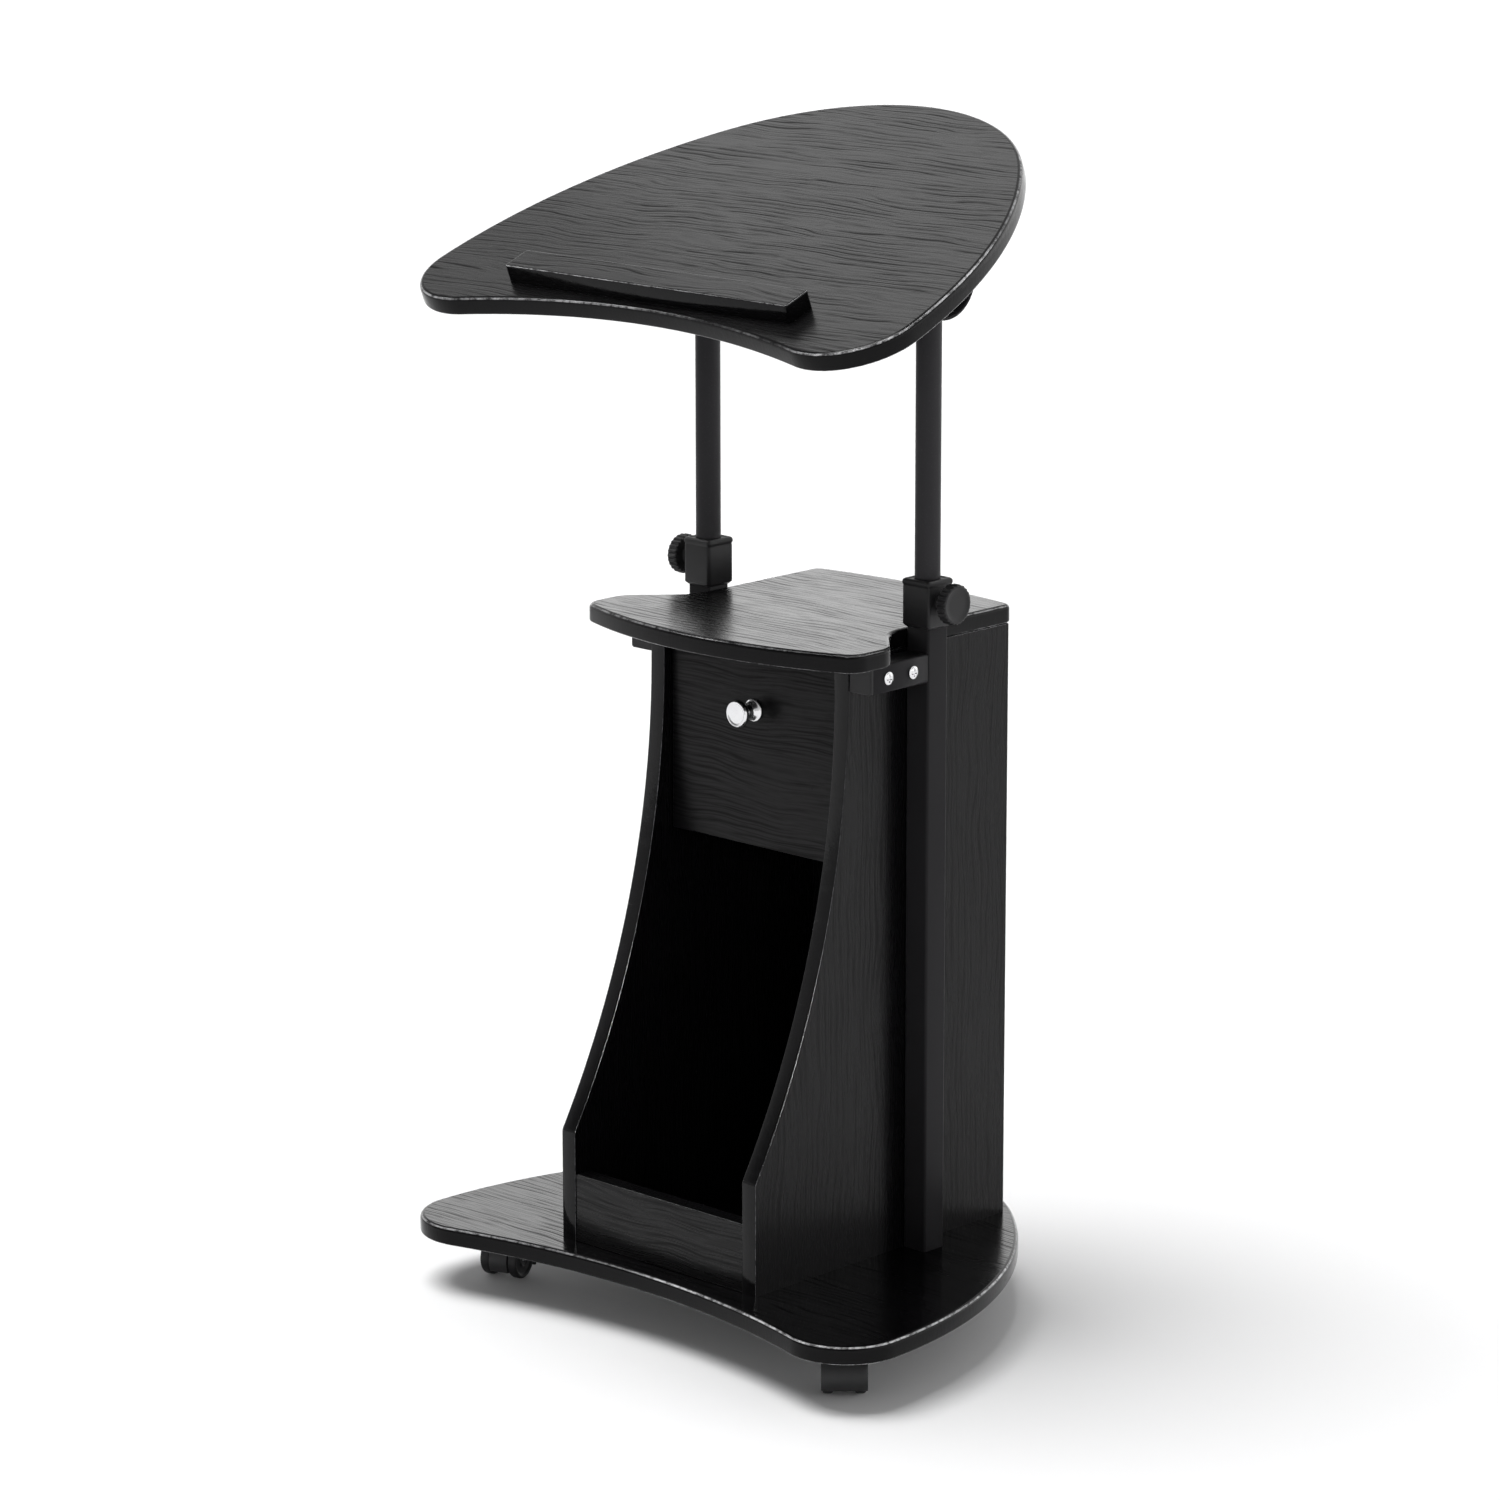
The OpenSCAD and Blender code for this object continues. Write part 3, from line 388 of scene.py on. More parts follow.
# ------------------------------------------------------------------ materials

MATERIALS = {}


def scaled(colour, factor):
    return tuple(factor * c for c in colour)


class Nodes:
    """Short calls for the nodes of a material or of the world."""

    def __init__(self, owner, shader="Principled BSDF"):
        owner.use_nodes = True
        self.tree = owner.node_tree
        self.shader = self.tree.nodes[shader]
        self.coords = self.tree.nodes.new("ShaderNodeTexCoord").outputs

    def put(self, socket, value):
        if isinstance(value, bpy.types.NodeSocket):
            self.tree.links.new(value, socket)
        else:
            socket.default_value = value

    def node(self, kind, out=0, **inputs):
        node = self.tree.nodes.new("ShaderNode" + kind)
        for key, value in inputs.items():
            if key[0].islower():
                setattr(node, key, value)
            else:
                self.put(node.inputs[key.replace("_", " ")], value)
        return node.outputs[out]

    def mapped(self, scale, rotation=(0, 0, 0)):
        """The object's coordinates, turned and then scaled, alike on all axes or on each its own."""
        turned = self.node("Mapping", Vector=self.coords["Object"], Rotation=rotation)
        scale = scale if isinstance(scale, tuple) else (scale,) * 3
        return self.node("Mapping", Vector=turned, Scale=scale)

    def noise(self, vector, detail, rough, distortion=0.0):
        return self.node("TexNoise", Vector=vector, Scale=1.0, Detail=detail,
                         Roughness=rough, Distortion=distortion)

    def ramp(self, value, stops):
        """Colours, or greys given as single numbers, at places from 0 to 1."""
        node = self.tree.nodes.new("ShaderNodeValToRGB")
        self.put(node.inputs[0], value)
        elements = node.color_ramp.elements
        while len(elements) < len(stops):
            elements.new(0.5)
        for element, (place, colour) in zip(elements, stops):
            element.position = place
            c = (colour,) * 3 if isinstance(colour, (int, float)) else colour
            element.color = (*c, 1)
        return node.outputs[0]

    def math(self, operation, a, b=0.5, clamp=False):
        node = self.tree.nodes.new("ShaderNodeMath")
        node.operation, node.use_clamp = operation, clamp
        self.put(node.inputs[0], a)
        self.put(node.inputs[1], b)
        return node.outputs[0]

    def times(self, a, b, clamp=False):
        return self.math("MULTIPLY", a, b, clamp)

    def plus(self, a, b, clamp=False):
        return self.math("ADD", a, b, clamp)

    def vectors(self, operation, a, b, out=0):
        node = self.tree.nodes.new("ShaderNodeVectorMath")
        node.operation = operation
        self.put(node.inputs[0], a)
        self.put(node.inputs[1], b)
        return node.outputs[out]

    def mix(self, factor, a, b):
        node = self.tree.nodes.new("ShaderNodeMix")
        node.data_type = "RGBA"
        self.put(node.inputs[0], factor)
        for socket, value in ((node.inputs[6], a), (node.inputs[7], b)):
            self.put(socket, value if isinstance(value, bpy.types.NodeSocket) else (*value, 1))
        return node.outputs[2]

    def bump(self, height, strength, distance, **normal):
        return self.node("Bump", Height=height, Strength=strength, Distance=distance, **normal)

    def finish(self, **inputs):
        for key, value in inputs.items():
            self.put(self.shader.inputs[key.replace("_", " ")], value)


def new_material(name):
    MATERIALS[name] = bpy.data.materials.new(name)
    return Nodes(MATERIALS[name])


def laminate(name, base, along, spec, rough, rotation=(0, 0, 0), relief=1.0, shade=1.0):
    """Black wood-grain foil on board: thin pressed lines that break up its gloss. along is the axis
    that the grain follows: 0 = X, 1 = Y, 2 = Z. relief is the lines' depth, shade how dull they are."""
    n = new_material(name)

    def scales(a, c):
        return tuple(a if k == along else c for k in range(3))

    wander = n.node("TexNoise", 1, Vector=n.mapped(scales(9.0, 11.0), rotation), Detail=1.5, Scale=1.0)
    centred = n.vectors("SUBTRACT", wander, (0.5, 0.5, 0.5))
    shift = n.node("VectorMath", operation="SCALE", Vector=centred, Scale=0.016)
    wavy = n.vectors("ADD", n.mapped(1, rotation), shift)

    def stretched(a, c, location):
        """The wandering coordinates, scaled by a along the grain and by c across it."""
        return n.node("Mapping", Vector=wavy, Scale=scales(a, c), Location=location)

    parts = n.node("SeparateXYZ", Vector=wavy).node.outputs
    across = n.plus(*(parts[k] for k in range(3) if k != along))

    def lines(density, bend, thin, location):
        """Lines along the grain, density to the metre, that wander and crowd as a low noise bends them."""
        sway = n.noise(stretched(5.5, 26.0, location), 2.0, 0.5)
        phase = n.plus(n.times(across, density), n.times(sway, bend))
        wave = n.math("SINE", n.times(phase, 2 * math.pi))
        return n.ramp(wave, [(thin, 0), (1.0, 1)])

    fading = n.ramp(n.noise(stretched(11.0, 70.0, (0.5, 0.1, 0.6)), 3.0, 0.6), [(0.36, 0.2), (0.56, 1)])
    coarse, fine = lines(135, 3.4, 0.3, (0.1, 0.2, 0.3)), lines(290, 3.5, 0.2, (0.9, 0.4, 0.7))
    grain = n.math("MAXIMUM", coarse, n.times(fine, 0.75))
    pores = n.ramp(n.noise(stretched(24.0, 620.0, (1.7, 0.4, 2.2)), 1.0, 0.5), [(0.50, 0), (0.70, 1)])
    grain = n.math("MAXIMUM", n.times(grain, fading), n.times(pores, 0.45))
    soft = n.noise(stretched(6.0, 60.0, (0.2, 0.8, 0.5)), 3.0, 0.6)
    tone = n.plus(grain, n.times(n.math("SUBTRACT", soft, 0.5), 0.35), clamp=True)
    colour = n.mix(n.times(tone, 0.8), base, scaled(base, 0.3))
    wear_and_painted_highlight = n.noise(n.mapped(9), 5.0, 0.7)
    roughness = n.plus(n.times(wear_and_painted_highlight, 0.14), rough - 0.07)
    roughness = n.plus(roughness, n.times(grain, 0.12), clamp=True)
    shine = n.times(n.math("SUBTRACT", 1.0, n.times(tone, 0.95 * shade)), spec, clamp=True)
    normal = n.bump(n.times(grain, -1.0), 0.3 * relief, 0.00025)
    normal = n.bump(n.noise(n.mapped(240), 2.0, 0.5), 0.04, 0.0002, Normal=normal)
    n.finish(Base_Color=colour, Roughness=roughness, Specular_IOR_Level=shine, Normal=normal)


TILT = -joints["desk_tilt"]["range_deg"][0]       # slope of the desk at rest, in degrees
to_desk = (math.radians(-TILT), 0, 0)
laminate("desk_laminate", (0.0024, 0.0022, 0.0026), 0, 0.50, 0.22, to_desk)
laminate("shelf_laminate", (0.0024, 0.0022, 0.0026), 0, 0.50, 0.24)
laminate("base_laminate", (0.0014, 0.0013, 0.0016), 0, 0.50, 0.15, relief=0.7)
laminate("front_laminate", (0.0025, 0.0024, 0.0028), 0, 0.155, 0.30, shade=0.5)
laminate("kick_laminate", (0.0025, 0.0024, 0.0028), 0, 0.26, 0.26, shade=0.5)
laminate("cabinet_laminate", (0.0022, 0.0021, 0.0026), 2, 0.185, 0.24, relief=0.4, shade=0.3)
laminate("drawer_foil", (0.015, 0.015, 0.016), 1, 0.25, 0.5, relief=0.5)


def edging(name, base, rough, spec, face=(0, 0, 1), highlight_grey=0.55):
    """Glossy rounded rims: a fine ripple breaks up their gloss and handling dulls them. A painted highlight
    lightens the middle of their round, half turned away from the board's face, in broken places. face is
    that face's normal, and the last argument the grey of the painted highlight."""
    n = new_material(name)
    ripple = n.noise(n.mapped((330, 330, 120)), 3.0, 0.6)
    scuff = n.ramp(n.noise(n.mapped((40, 40, 90)), 6.0, 0.7), [(0.5, 0), (0.8, 1)])
    colour = n.mix(n.times(scuff, 0.3), base, scaled(base, 2.2))
    lean = n.math("ABSOLUTE", n.vectors("DOT_PRODUCT", n.coords["Normal"], face, out=1))
    # painted highlight: the colour is lightened to a pale grey, in broken specks, where the normal leans
    # half away from the face, standing in for a lamp's glint along the rim
    middle = n.ramp(lean, [(0.50, 0), (0.62, 1), (0.80, 1), (0.90, 0)])
    places = n.ramp(n.noise(n.mapped(7), 2.0, 0.5), [(0.40, 0.05), (0.62, 1)])
    specks = n.ramp(n.noise(n.mapped(150), 4.0, 0.7), [(0.38, 0.1), (0.58, 1)])
    wear_and_painted_highlight = n.times(n.times(middle, places), specks)
    colour = n.mix(wear_and_painted_highlight, colour, (highlight_grey, highlight_grey, highlight_grey + 0.01))
    roughness = n.plus(n.times(scuff, 0.25), rough)
    n.finish(Base_Color=colour, Roughness=roughness, Specular_IOR_Level=spec,
             Normal=n.bump(ripple, 0.30, 0.0004))


# the last argument, or its default, is the grey of the painted highlight along the rims
edging("edging", (0.0019, 0.0018, 0.0021), 0.10, 0.12)
edging("desk_edging", (0.0019, 0.0018, 0.0021), 0.10, 0.12,
       (0, -math.sin(math.radians(TILT)), math.cos(math.radians(TILT))))
edging("panel_edging", (0.0025, 0.0024, 0.0028), 0.12, 0.19, (1, 0, 0), 0.15)


def coated_steel(name, base, rough, spec):
    """Powder coating: orange peel, faint clouds and a few paler specks."""
    n = new_material(name)
    peel = n.noise(n.mapped(420), 3.0, 0.5)
    cloud = n.noise(n.mapped((14, 14, 6)), 4.0, 0.6)
    speck = n.ramp(n.noise(n.mapped(800), 1.0, 0.5), [(0.62, 0), (0.75, 1)])
    colour = n.mix(cloud, scaled(base, 0.85), scaled(base, 1.2))
    colour = n.mix(n.times(speck, 0.25), colour, scaled(base, 2.0))
    roughness = n.plus(n.times(cloud, 0.14), rough - 0.07)
    n.finish(Base_Color=colour, Roughness=roughness, Specular_IOR_Level=spec,
             Normal=n.bump(peel, 0.12, 0.0003))


coated_steel("black_steel", (0.0165, 0.0160, 0.0173), 0.36, 0.06)
coated_steel("tube_steel", (0.0340, 0.0330, 0.0353), 0.36, 0.06)


def plastic(name, base, rough, spec, texture):
    """Moulded plastic with a fine spark-eroded grain."""
    n = new_material(name)
    grain = n.node("TexVoronoi", Vector=n.mapped(1500), Scale=1.0)
    cloud = n.noise(n.mapped(30), 4.0, 0.6)
    colour = n.mix(cloud, scaled(base, 0.85), scaled(base, 1.25))
    roughness = n.plus(n.times(cloud, 0.12), rough - 0.06)
    n.finish(Base_Color=colour, Roughness=roughness, Specular_IOR_Level=spec,
             Normal=n.bump(grain, texture, 0.0002))


plastic("black_plastic", (0.0135, 0.0132, 0.0140), 0.44, 0.22, 0.16)
plastic("hood_plastic", (0.032, 0.032, 0.033), 0.42, 0.25, 0.05)
plastic("wheel_plastic", (0.010, 0.010, 0.011), 0.5, 0.35, 0.1)
plastic("runner_plastic", (0.42, 0.42, 0.40), 0.45, 0.4, 0.05)


def metal(name, base, rough):
    n = new_material(name)
    cloud = n.noise(n.mapped(60), 5.0, 0.65)
    lines = n.noise(n.mapped((40, 1600, 40)), 2.0, 0.6)
    colour = n.mix(cloud, scaled(base, 0.82), base)
    roughness = n.plus(n.times(cloud, 0.16), rough - 0.06, clamp=True)
    n.finish(Base_Color=colour, Metallic=1.0, Roughness=roughness,
             Normal=n.bump(lines, 0.05, 0.0001))


metal("zinc_steel", (0.55, 0.56, 0.58), 0.34)
metal("chrome", (0.80, 0.80, 0.81), 0.12)


def wood(name):
    n = new_material(name)
    grain = n.noise(n.mapped((60, 500, 500)), 4.0, 0.6, 0.4)
    colour = n.ramp(grain, [(0.35, (0.50, 0.34, 0.19)), (0.65, (0.66, 0.48, 0.30))])
    n.finish(Base_Color=colour, Roughness=0.6, Normal=n.bump(grain, 0.2, 0.0003))


wood("beech")
for node, obj in frame["nodes"].items():
    obj.data.materials.clear()
    obj.data.materials.append(MATERIALS[slot_of[node]])

# ------------------------------------------------------------------ boards

pivot = Vector(joints["desk_tilt"]["pos_m"]) / MM
desk_frame = Matrix.Translation(pivot) @ Matrix.Rotation(math.radians(TILT), 4, "X")
RIM_R = 4.0                                       # rounded upper rim of the three shaped boards
RIM_LOW_R = 2.0
EDGE_R = 1.0                                      # edges of the straight boards

BOARD_T = 16.0
# radii of the two rounded triangles: front corners, rear corner, sides, hollow front edge
BASE_RADII = 54.5, 184, 434, 743
DESK_RADII = 63.3, 226.4, 430.6, 729
SHELF_REAR = 232                                  # width of the shelf behind its wings


def shaped_board(outline, low_z, high_z, matrix, node, materials):
    board = Build().board(outline, low_z, high_z, RIM_R, matrix, RIM_LOW_R, steps=6, edge=1)
    board.piece(node + "_skin", node, materials)


low, high = box("base_board")
shaped_board(rounded_triangle(high[0] - low[0], high[1] - low[1], *BASE_RADII),
             low[2], high[2], at(0, low[1], 0), "base_board", ["base_laminate", "edging"])
low, high = box("top_shelf")
shaped_board(shelf_outline(high[0] - low[0], SHELF_REAR, low[1], high[1]),
             low[2], high[2], at(0, 0, 0), "top_shelf", ["shelf_laminate", "edging"])

# the desk's own frame: its origin is the pivot, y runs up the slope and z out of the desk
DESK_REACH, DESK_DEPTH, DESK_RISE = 235.2, 409.5, 45.1
low, high = box("desk_board")
desk_top = DESK_RISE + BOARD_T
shaped_board(rounded_triangle(high[0] - low[0], DESK_DEPTH, *DESK_RADII), DESK_RISE, desk_top,
             desk_frame @ at(0, -DESK_REACH, 0), "desk_board", ["desk_laminate", "desk_edging"])

low, high = box("book_ledge")
LEDGE_FRONT, LEDGE_DEPTH, LEDGE_H = 39.0, 29.0, 16.5
ledge_mid = -DESK_REACH + LEDGE_FRONT + LEDGE_DEPTH / 2
ledge = Build().board(rectangle(high[0] - low[0], LEDGE_DEPTH, 3.0, (0, ledge_mid)),
                      desk_top, desk_top + LEDGE_H, 1.6, desk_frame, 0.3, steps=5, edge=1)
ledge.piece("book_ledge_skin", "book_ledge", ["desk_laminate", "desk_edging"])

# side panels: upright foot, knee, long hollow curve, waist
CURVE_R, WAIST, WAIST_DROP = 780.0, 45.0, 30.0
low, high = box("right_side_panel")
front, rear, top = low[1], high[1], high[2]
bottom = low[2] - EDGE_R                          # its lower rim is sunk into the base board
centre = (-WAIST - CURVE_R, top - WAIST_DROP)
knee_a = -math.degrees(math.acos((front - centre[0]) / CURVE_R))
top_a = math.degrees(math.asin(WAIST_DROP / CURVE_R))
curve = [tuple(p) for p, _ in arc(centre, CURVE_R, top_a, knee_a, 14)]
points = [(front, bottom), (rear, bottom), (rear, top)] + curve
KNEE_R = 8.0
radii = [EDGE_R] * 4 + [0] * (len(curve) - 2) + [KNEE_R]
for side, m in SIDES:
    panel = Build().board(filleted(points, radii), low[0], high[0], EDGE_R, m @ AXES["yz"], steps=3, edge=1)
    panel.piece(side + "_side_panel_skin", side + "_side_panel", ["cabinet_laminate", "panel_edging"])

for node, material, r in (("back_panel", "cabinet_laminate", 0.6), ("kick_panel", "kick_laminate", 1.0),
                          ("divider_panel", "cabinet_laminate", 0.6),
                          ("drawer_front", "front_laminate", 1.2)):
    Build().block(*box(node), r).piece(node + "_skin", node, [material])

# ------------------------------------------------------------------ drawer

low, high = box("drawer_right_side")
groove = box("drawer_runners")
g_low, g_high = groove[0][2] - 0.5, groove[1][2] + 0.5
g_x = groove[1][0] - 8.5                          # leaves 1 mm beside the runner
section = [(low[0], low[2]), (high[0], low[2]), (high[0], g_low), (g_x, g_low),
           (g_x, g_high), (high[0], g_high), (high[0], high[2]), (low[0], high[2])]
for side, m in SIDES:
    part = Build().board(filleted(section, [0.8, 0.8, 0.4, 0.4, 0.4, 0.4, 1.5, 1.5]),
                         -high[1], -low[1], 0.4, m @ AXES["xz"], steps=3)
    part.piece("drawer_" + side + "_side_skin", "drawer_" + side + "_side")
Build().block(*box("drawer_back"), 0.8).piece("drawer_back_skin", "drawer_back")
Build().block(*box("drawer_bottom"), 0.3).piece("drawer_bottom_skin", "drawer_bottom")

low, high = box("drawer_pull")
pull_z = (low[2] + high[2]) / 2
pull_r = (high[0] - low[0]) / 2
pull_l = high[1] - low[1]
profile = softened([(0, 0), (10, 0), (10, 2.2), (8.3, 3.0), (5.4, 6.5), (4.8, 10), (5.4, 13.0),
                    (9.5, 17.0), (pull_r, 19.2), (pull_r, 21.4), (pull_r - 1.2, pull_l),
                    (pull_r - 2.4, pull_l - 0.2), (pull_r - 3.4, pull_l - 0.9), (0, pull_l - 1.5)], 0.9)
Build().turn(profile, at(0, high[1], pull_z, "-y"), 96).piece("drawer_pull_turned", "drawer_pull")

# ------------------------------------------------------------------ posts, arms, tubes


def square_tube(build, side, wall, length, matrix):
    """Hollow along +Z from z = 0, with rounded corners and broken end edges."""
    r = 2.2
    outer, inner = rectangle(side, side, r), rectangle(side - 2 * wall, side - 2 * wall, r - wall)
    assert len(outer) == len(inner)
    rings = [shrunk(outer, 0.3, 0), shrunk(outer, 0, 0.3), shrunk(outer, 0, length - 0.3),
             shrunk(outer, 0.3, length), shrunk(inner, 0, length), shrunk(inner, 0, 0)]
    return build.loft(rings, matrix, closed=True)


POST_WALL = 1.2
low, high = box("right_post")
post_s = high[0] - low[0]
post_x, post_y = (low[0] + high[0]) / 2, (low[1] + high[1]) / 2
for side, m in SIDES:
    post = square_tube(Build(), post_s, POST_WALL, high[2] - low[2], m @ at(post_x, post_y, low[2]))
    post.piece(side + "_post_tube", side + "_post")

low, high = box("post_arms")
arm_z, arm_front, arm_back = (low[2] + high[2]) / 2, low[1], high[1]
arms, caps, screws = Build(), Build(), Build()
cap_low = box("arm_caps")[0]
plug_s = post_s - 2 * POST_WALL - 0.2             # the cap's plug, inside the arm
for _, m in SIDES:
    square_tube(arms, post_s, POST_WALL, arm_back - arm_front, m @ at(post_x, arm_back, arm_z, "-y"))
    place = m @ at(post_x, arm_front, arm_z, "-y")
    caps.board(rectangle(post_s, post_s, 2.6), 0, arm_front - cap_low[1], 1.3, place, 0.2)
    caps.board(rectangle(plug_s, plug_s, 1.2), -8, 0, 0.5, place, 0.5)
    for y in (-23, 8):
        screw(screws, m @ at(post_x + post_s / 2, y, arm_z, "-x"), 35, 6, 11, 3)
arms.piece("post_arm_tubes", "post_arms")
caps.piece("arm_end_caps", "arm_caps")
screws.piece("arm_cross_screws", "arm_screws")

low, high = box("right_tube")
TUBE_R, TUBE_WALL = 11.0, 1.5
length, bore_r = high[2] - low[2], TUBE_R - TUBE_WALL
profile = [(bore_r, 0), (TUBE_R - 0.3, 0), (TUBE_R, 0.3), (TUBE_R, length * 0.5), (TUBE_R, length - 0.3),
           (TUBE_R - 0.3, length), (bore_r, length), (bore_r, length * 0.5), (bore_r, 0)]
for side, m in SIDES:
    tube = Build().turn(profile, m @ at(post_x, post_y, low[2]), 64)
    tube.piece(side + "_tube_drawn", side + "_tube", ["tube_steel"])


def collar(build, m, low, high):
    """Moulded sleeve: chamfered foot, rounded bead round the top, boss for the clamp stud."""
    n = 96
    body = (high[1] - low[1]) / 2
    h = high[2] - low[2]

    def squared(half, z, r=2.0):
        """The sleeve's section: a rounded square of n points on even angles."""
        ring = []
        for k in range(n):
            t = 2 * math.pi * (k + 0.5) / n
            c, s = math.cos(t), math.sin(t)
            reach = half / max(abs(c), abs(s))
            corner = half - r
            if abs(c * reach) > corner and abs(s * reach) > corner:
                q = abs(c) * corner + abs(s) * corner
                reach = q + math.sqrt(max(0.0, q * q - 2 * corner * corner + r * r))
            ring.append((c * reach, s * reach, z))
        return ring

    def rounded(r, z):
        return [polar(r, 2 * math.pi * (k + 0.5) / n, z) for k in range(n)]

    rings = [squared(12.6, 0), squared(body - 2.4, 0), squared(body - 0.5, 1.9),
             squared(body, 2.7), squared(body, h - 7.0), squared(body - 0.25, h - 6.2),
             squared(body - 0.1, h - 5.4), squared(body + 0.4, h - 4.4), squared(body + 0.55, h - 3.2),
             squared(body + 0.35, h - 1.8), squared(body - 0.3, h - 0.7), squared(body - 1.4, h - 0.1),
             squared(body - 2.4, h, 2.4), squared(body - 3.2, h - 0.6, 2.8),
             rounded(12.2, h - 0.9), rounded(11.4, h - 0.9), rounded(11.1, h - 1.3),
             rounded(11.1, h * 0.75), squared(12.6, h * 0.75 - 0.5)]
    build.loft(rings, m @ at(post_x, post_y, low[2]), closed=True)
    clamp_z = joints["right_clamp_turn"]["pos_m"][2] / MM
    boss = softened([(3.1, -6), (8.6, -6), (8.0, 2.0), (3.1, 2.0)], 0.7) + [(3.1, -6)]
    build.turn(boss, m @ at(post_x + body, post_y, clamp_z, "x"), 40)
    return build


def hand_knob(build, m, d, hub_l, grip_l):
    """Fluted knob along +Z: hub first, then the grip ring with a dished face."""
    flutes, points_each = 24, 8
    n = flutes * points_each
    bore_r, hub_r, r0, end = 3.1, 8.0, d / 2, hub_l + grip_l

    def ring(r, z, flute=0.0):
        """A ring whose flutes are cut in by as much as flute."""
        out = []
        for k in range(n):
            t = 2 * math.pi * k / n
            wave = (0.5 - 0.5 * math.cos(flutes * t)) ** 0.8
            out.append(polar(r - flute * wave, t, z))
        return out

    rings = [ring(bore_r, 0), ring(hub_r - 0.6, 0), ring(hub_r, 0.6), ring(hub_r, hub_l - 1.4),
             ring(hub_r + 0.8, hub_l - 0.3), ring(r0 - 2.6, hub_l - 0.1), ring(r0 - 1.0, hub_l + 0.2, 0.9),
             ring(r0 - 0.2, hub_l + 1.0, 1.7), ring(r0, hub_l + 1.8, 1.9), ring(r0, end - 2.2, 1.9),
             ring(r0 - 0.1, end - 1.5, 1.5), ring(r0 - 0.6, end - 0.6, 0.6), ring(r0 - 1.6, end - 0.1),
             ring(r0 - 2.8, end), ring(r0 - 3.6, end - 0.25), ring(r0 - 4.4, end - 0.7),
             ring(r0 * 0.5, end - 0.75), ring(0.6, end - 0.7)]
    build.loft(rings, m, foot=False)
    return build.turn([(bore_r, 0), (bore_r, hub_l + 4), (0, hub_l + 4)], m @ MIRROR, 24)


low, high = box("right_collar")
KNOB_HUB_L, STUD_D = 7.0, 6.0
for side, m in SIDES:
    collar(Build(), m, low, high).piece(side + "_collar_moulded", side + "_collar")
    for kind, node, axis in (("clamp", "right_clamp_knob", "x"), ("tilt", "right_tilt_knob", "-x")):
        a, b = box(node)
        start = a[0] if axis == "x" else b[0]
        place = m @ at(start, post_y, (a[2] + b[2]) / 2, axis)
        knob = hand_knob(Build(), place, b[1] - a[1], KNOB_HUB_L, b[0] - a[0] - KNOB_HUB_L)
        knob.piece(side + "_" + kind + "_knob_fluted", side + "_" + kind + "_knob")
    a, b = box("right_clamp_stud")
    stud = thread(Build(), m @ at(a[0], post_y, (a[2] + b[2]) / 2, "x"), b[0] - a[0], STUD_D)
    stud.piece(side + "_clamp_stud_threaded", side + "_clamp_stud")

# ------------------------------------------------------------------ tilt parts

low, high = box("pivot_rod")
_, pivot_y, pivot_z = pivot
rod = Build()
length = high[0] - low[0]
ROD_R, THREAD_L = 3.9, 18.0                       # plain middle, threaded length at each end
for _, m in SIDES:
    thread(rod, m @ at(high[0] - THREAD_L, pivot_y, pivot_z, "x"), THREAD_L, 8.0, 1.25, 24)
rod.turn([(0, THREAD_L), (ROD_R, THREAD_L), (ROD_R, length / 2), (ROD_R, length - THREAD_L),
          (0, length - THREAD_L)], at(low[0], pivot_y, pivot_z, "x"), 32)
rod.piece("pivot_rod_threaded", "pivot_rod")

nut_end = box("pivot_nuts")[1][0]
nuts = Build()
NUT_H, NUT_HEX_H = 6.5, 4.8                       # with and without the locking collar
hexagon = filleted([polar(7, math.radians(a), 0)[:2] for a in range(0, 360, 60)], [0.5] * 6)
lock = softened([(4.1, NUT_HEX_H), (6.0, NUT_HEX_H), (5.6, NUT_H), (4.1, NUT_H)], 0.6)
for _, m in SIDES:
    place = m @ at(nut_end - NUT_H, pivot_y, pivot_z, "x")
    nuts.board(hexagon, 0, NUT_HEX_H, 0.7, place)
    nuts.turn(lock, place, 40)
nuts.piece("pivot_lock_nuts", "pivot_nuts")

low, high = box("right_tilt_bracket")
BRACKET_T, BRACKET_HALF, BRACKET_R = 3.0, 45.0, 35.5
CHEEK_HALF, CHEEK_DROP, BRACKET_SCREWS = 28.0, 14.0, (-32, 0, 32)
LOCK_R, SLOT_W, SLOT_OVER = 22.0, 6.6, 10.0


def plate(name, outlines, thickness, edge):
    """Vertices and faces of a flat plate with holes and rounded edges, its middle plane at z = 0."""
    data = bpy.data.curves.new(name, "CURVE")
    data.dimensions, data.fill_mode = "2D", "BOTH"
    data.extrude, data.bevel_depth, data.bevel_resolution = thickness / 2 - edge, edge, 1
    data.offset = -edge
    for outline in outlines:
        spline = data.splines.new("POLY")
        spline.points.add(len(outline) - 1)
        for point, (p, _) in zip(spline.points, outline):
            point.co = (p[0], p[1], 0, 1)
        spline.use_cyclic_u = True
    obj = new_object(name, data)
    mesh = bpy.data.meshes.new_from_object(obj.evaluated_get(bpy.context.evaluated_depsgraph_get()))
    verts = [tuple(v.co) for v in mesh.vertices]
    faces = [(tuple(p.vertices), False) for p in mesh.polygons]
    bpy.data.objects.remove(obj)
    bpy.data.curves.remove(data)
    bpy.data.meshes.remove(mesh)
    return verts, faces


def slot_outline():
    first = -90 - TILT - joints["desk_tilt"]["range_deg"][1] - SLOT_OVER
    last = -90 + SLOT_OVER
    outer = arc((0, 0), LOCK_R + SLOT_W / 2, first, last)
    inner = arc((0, 0), LOCK_R - SLOT_W / 2, last, first, inward=True)
    return outer + inner


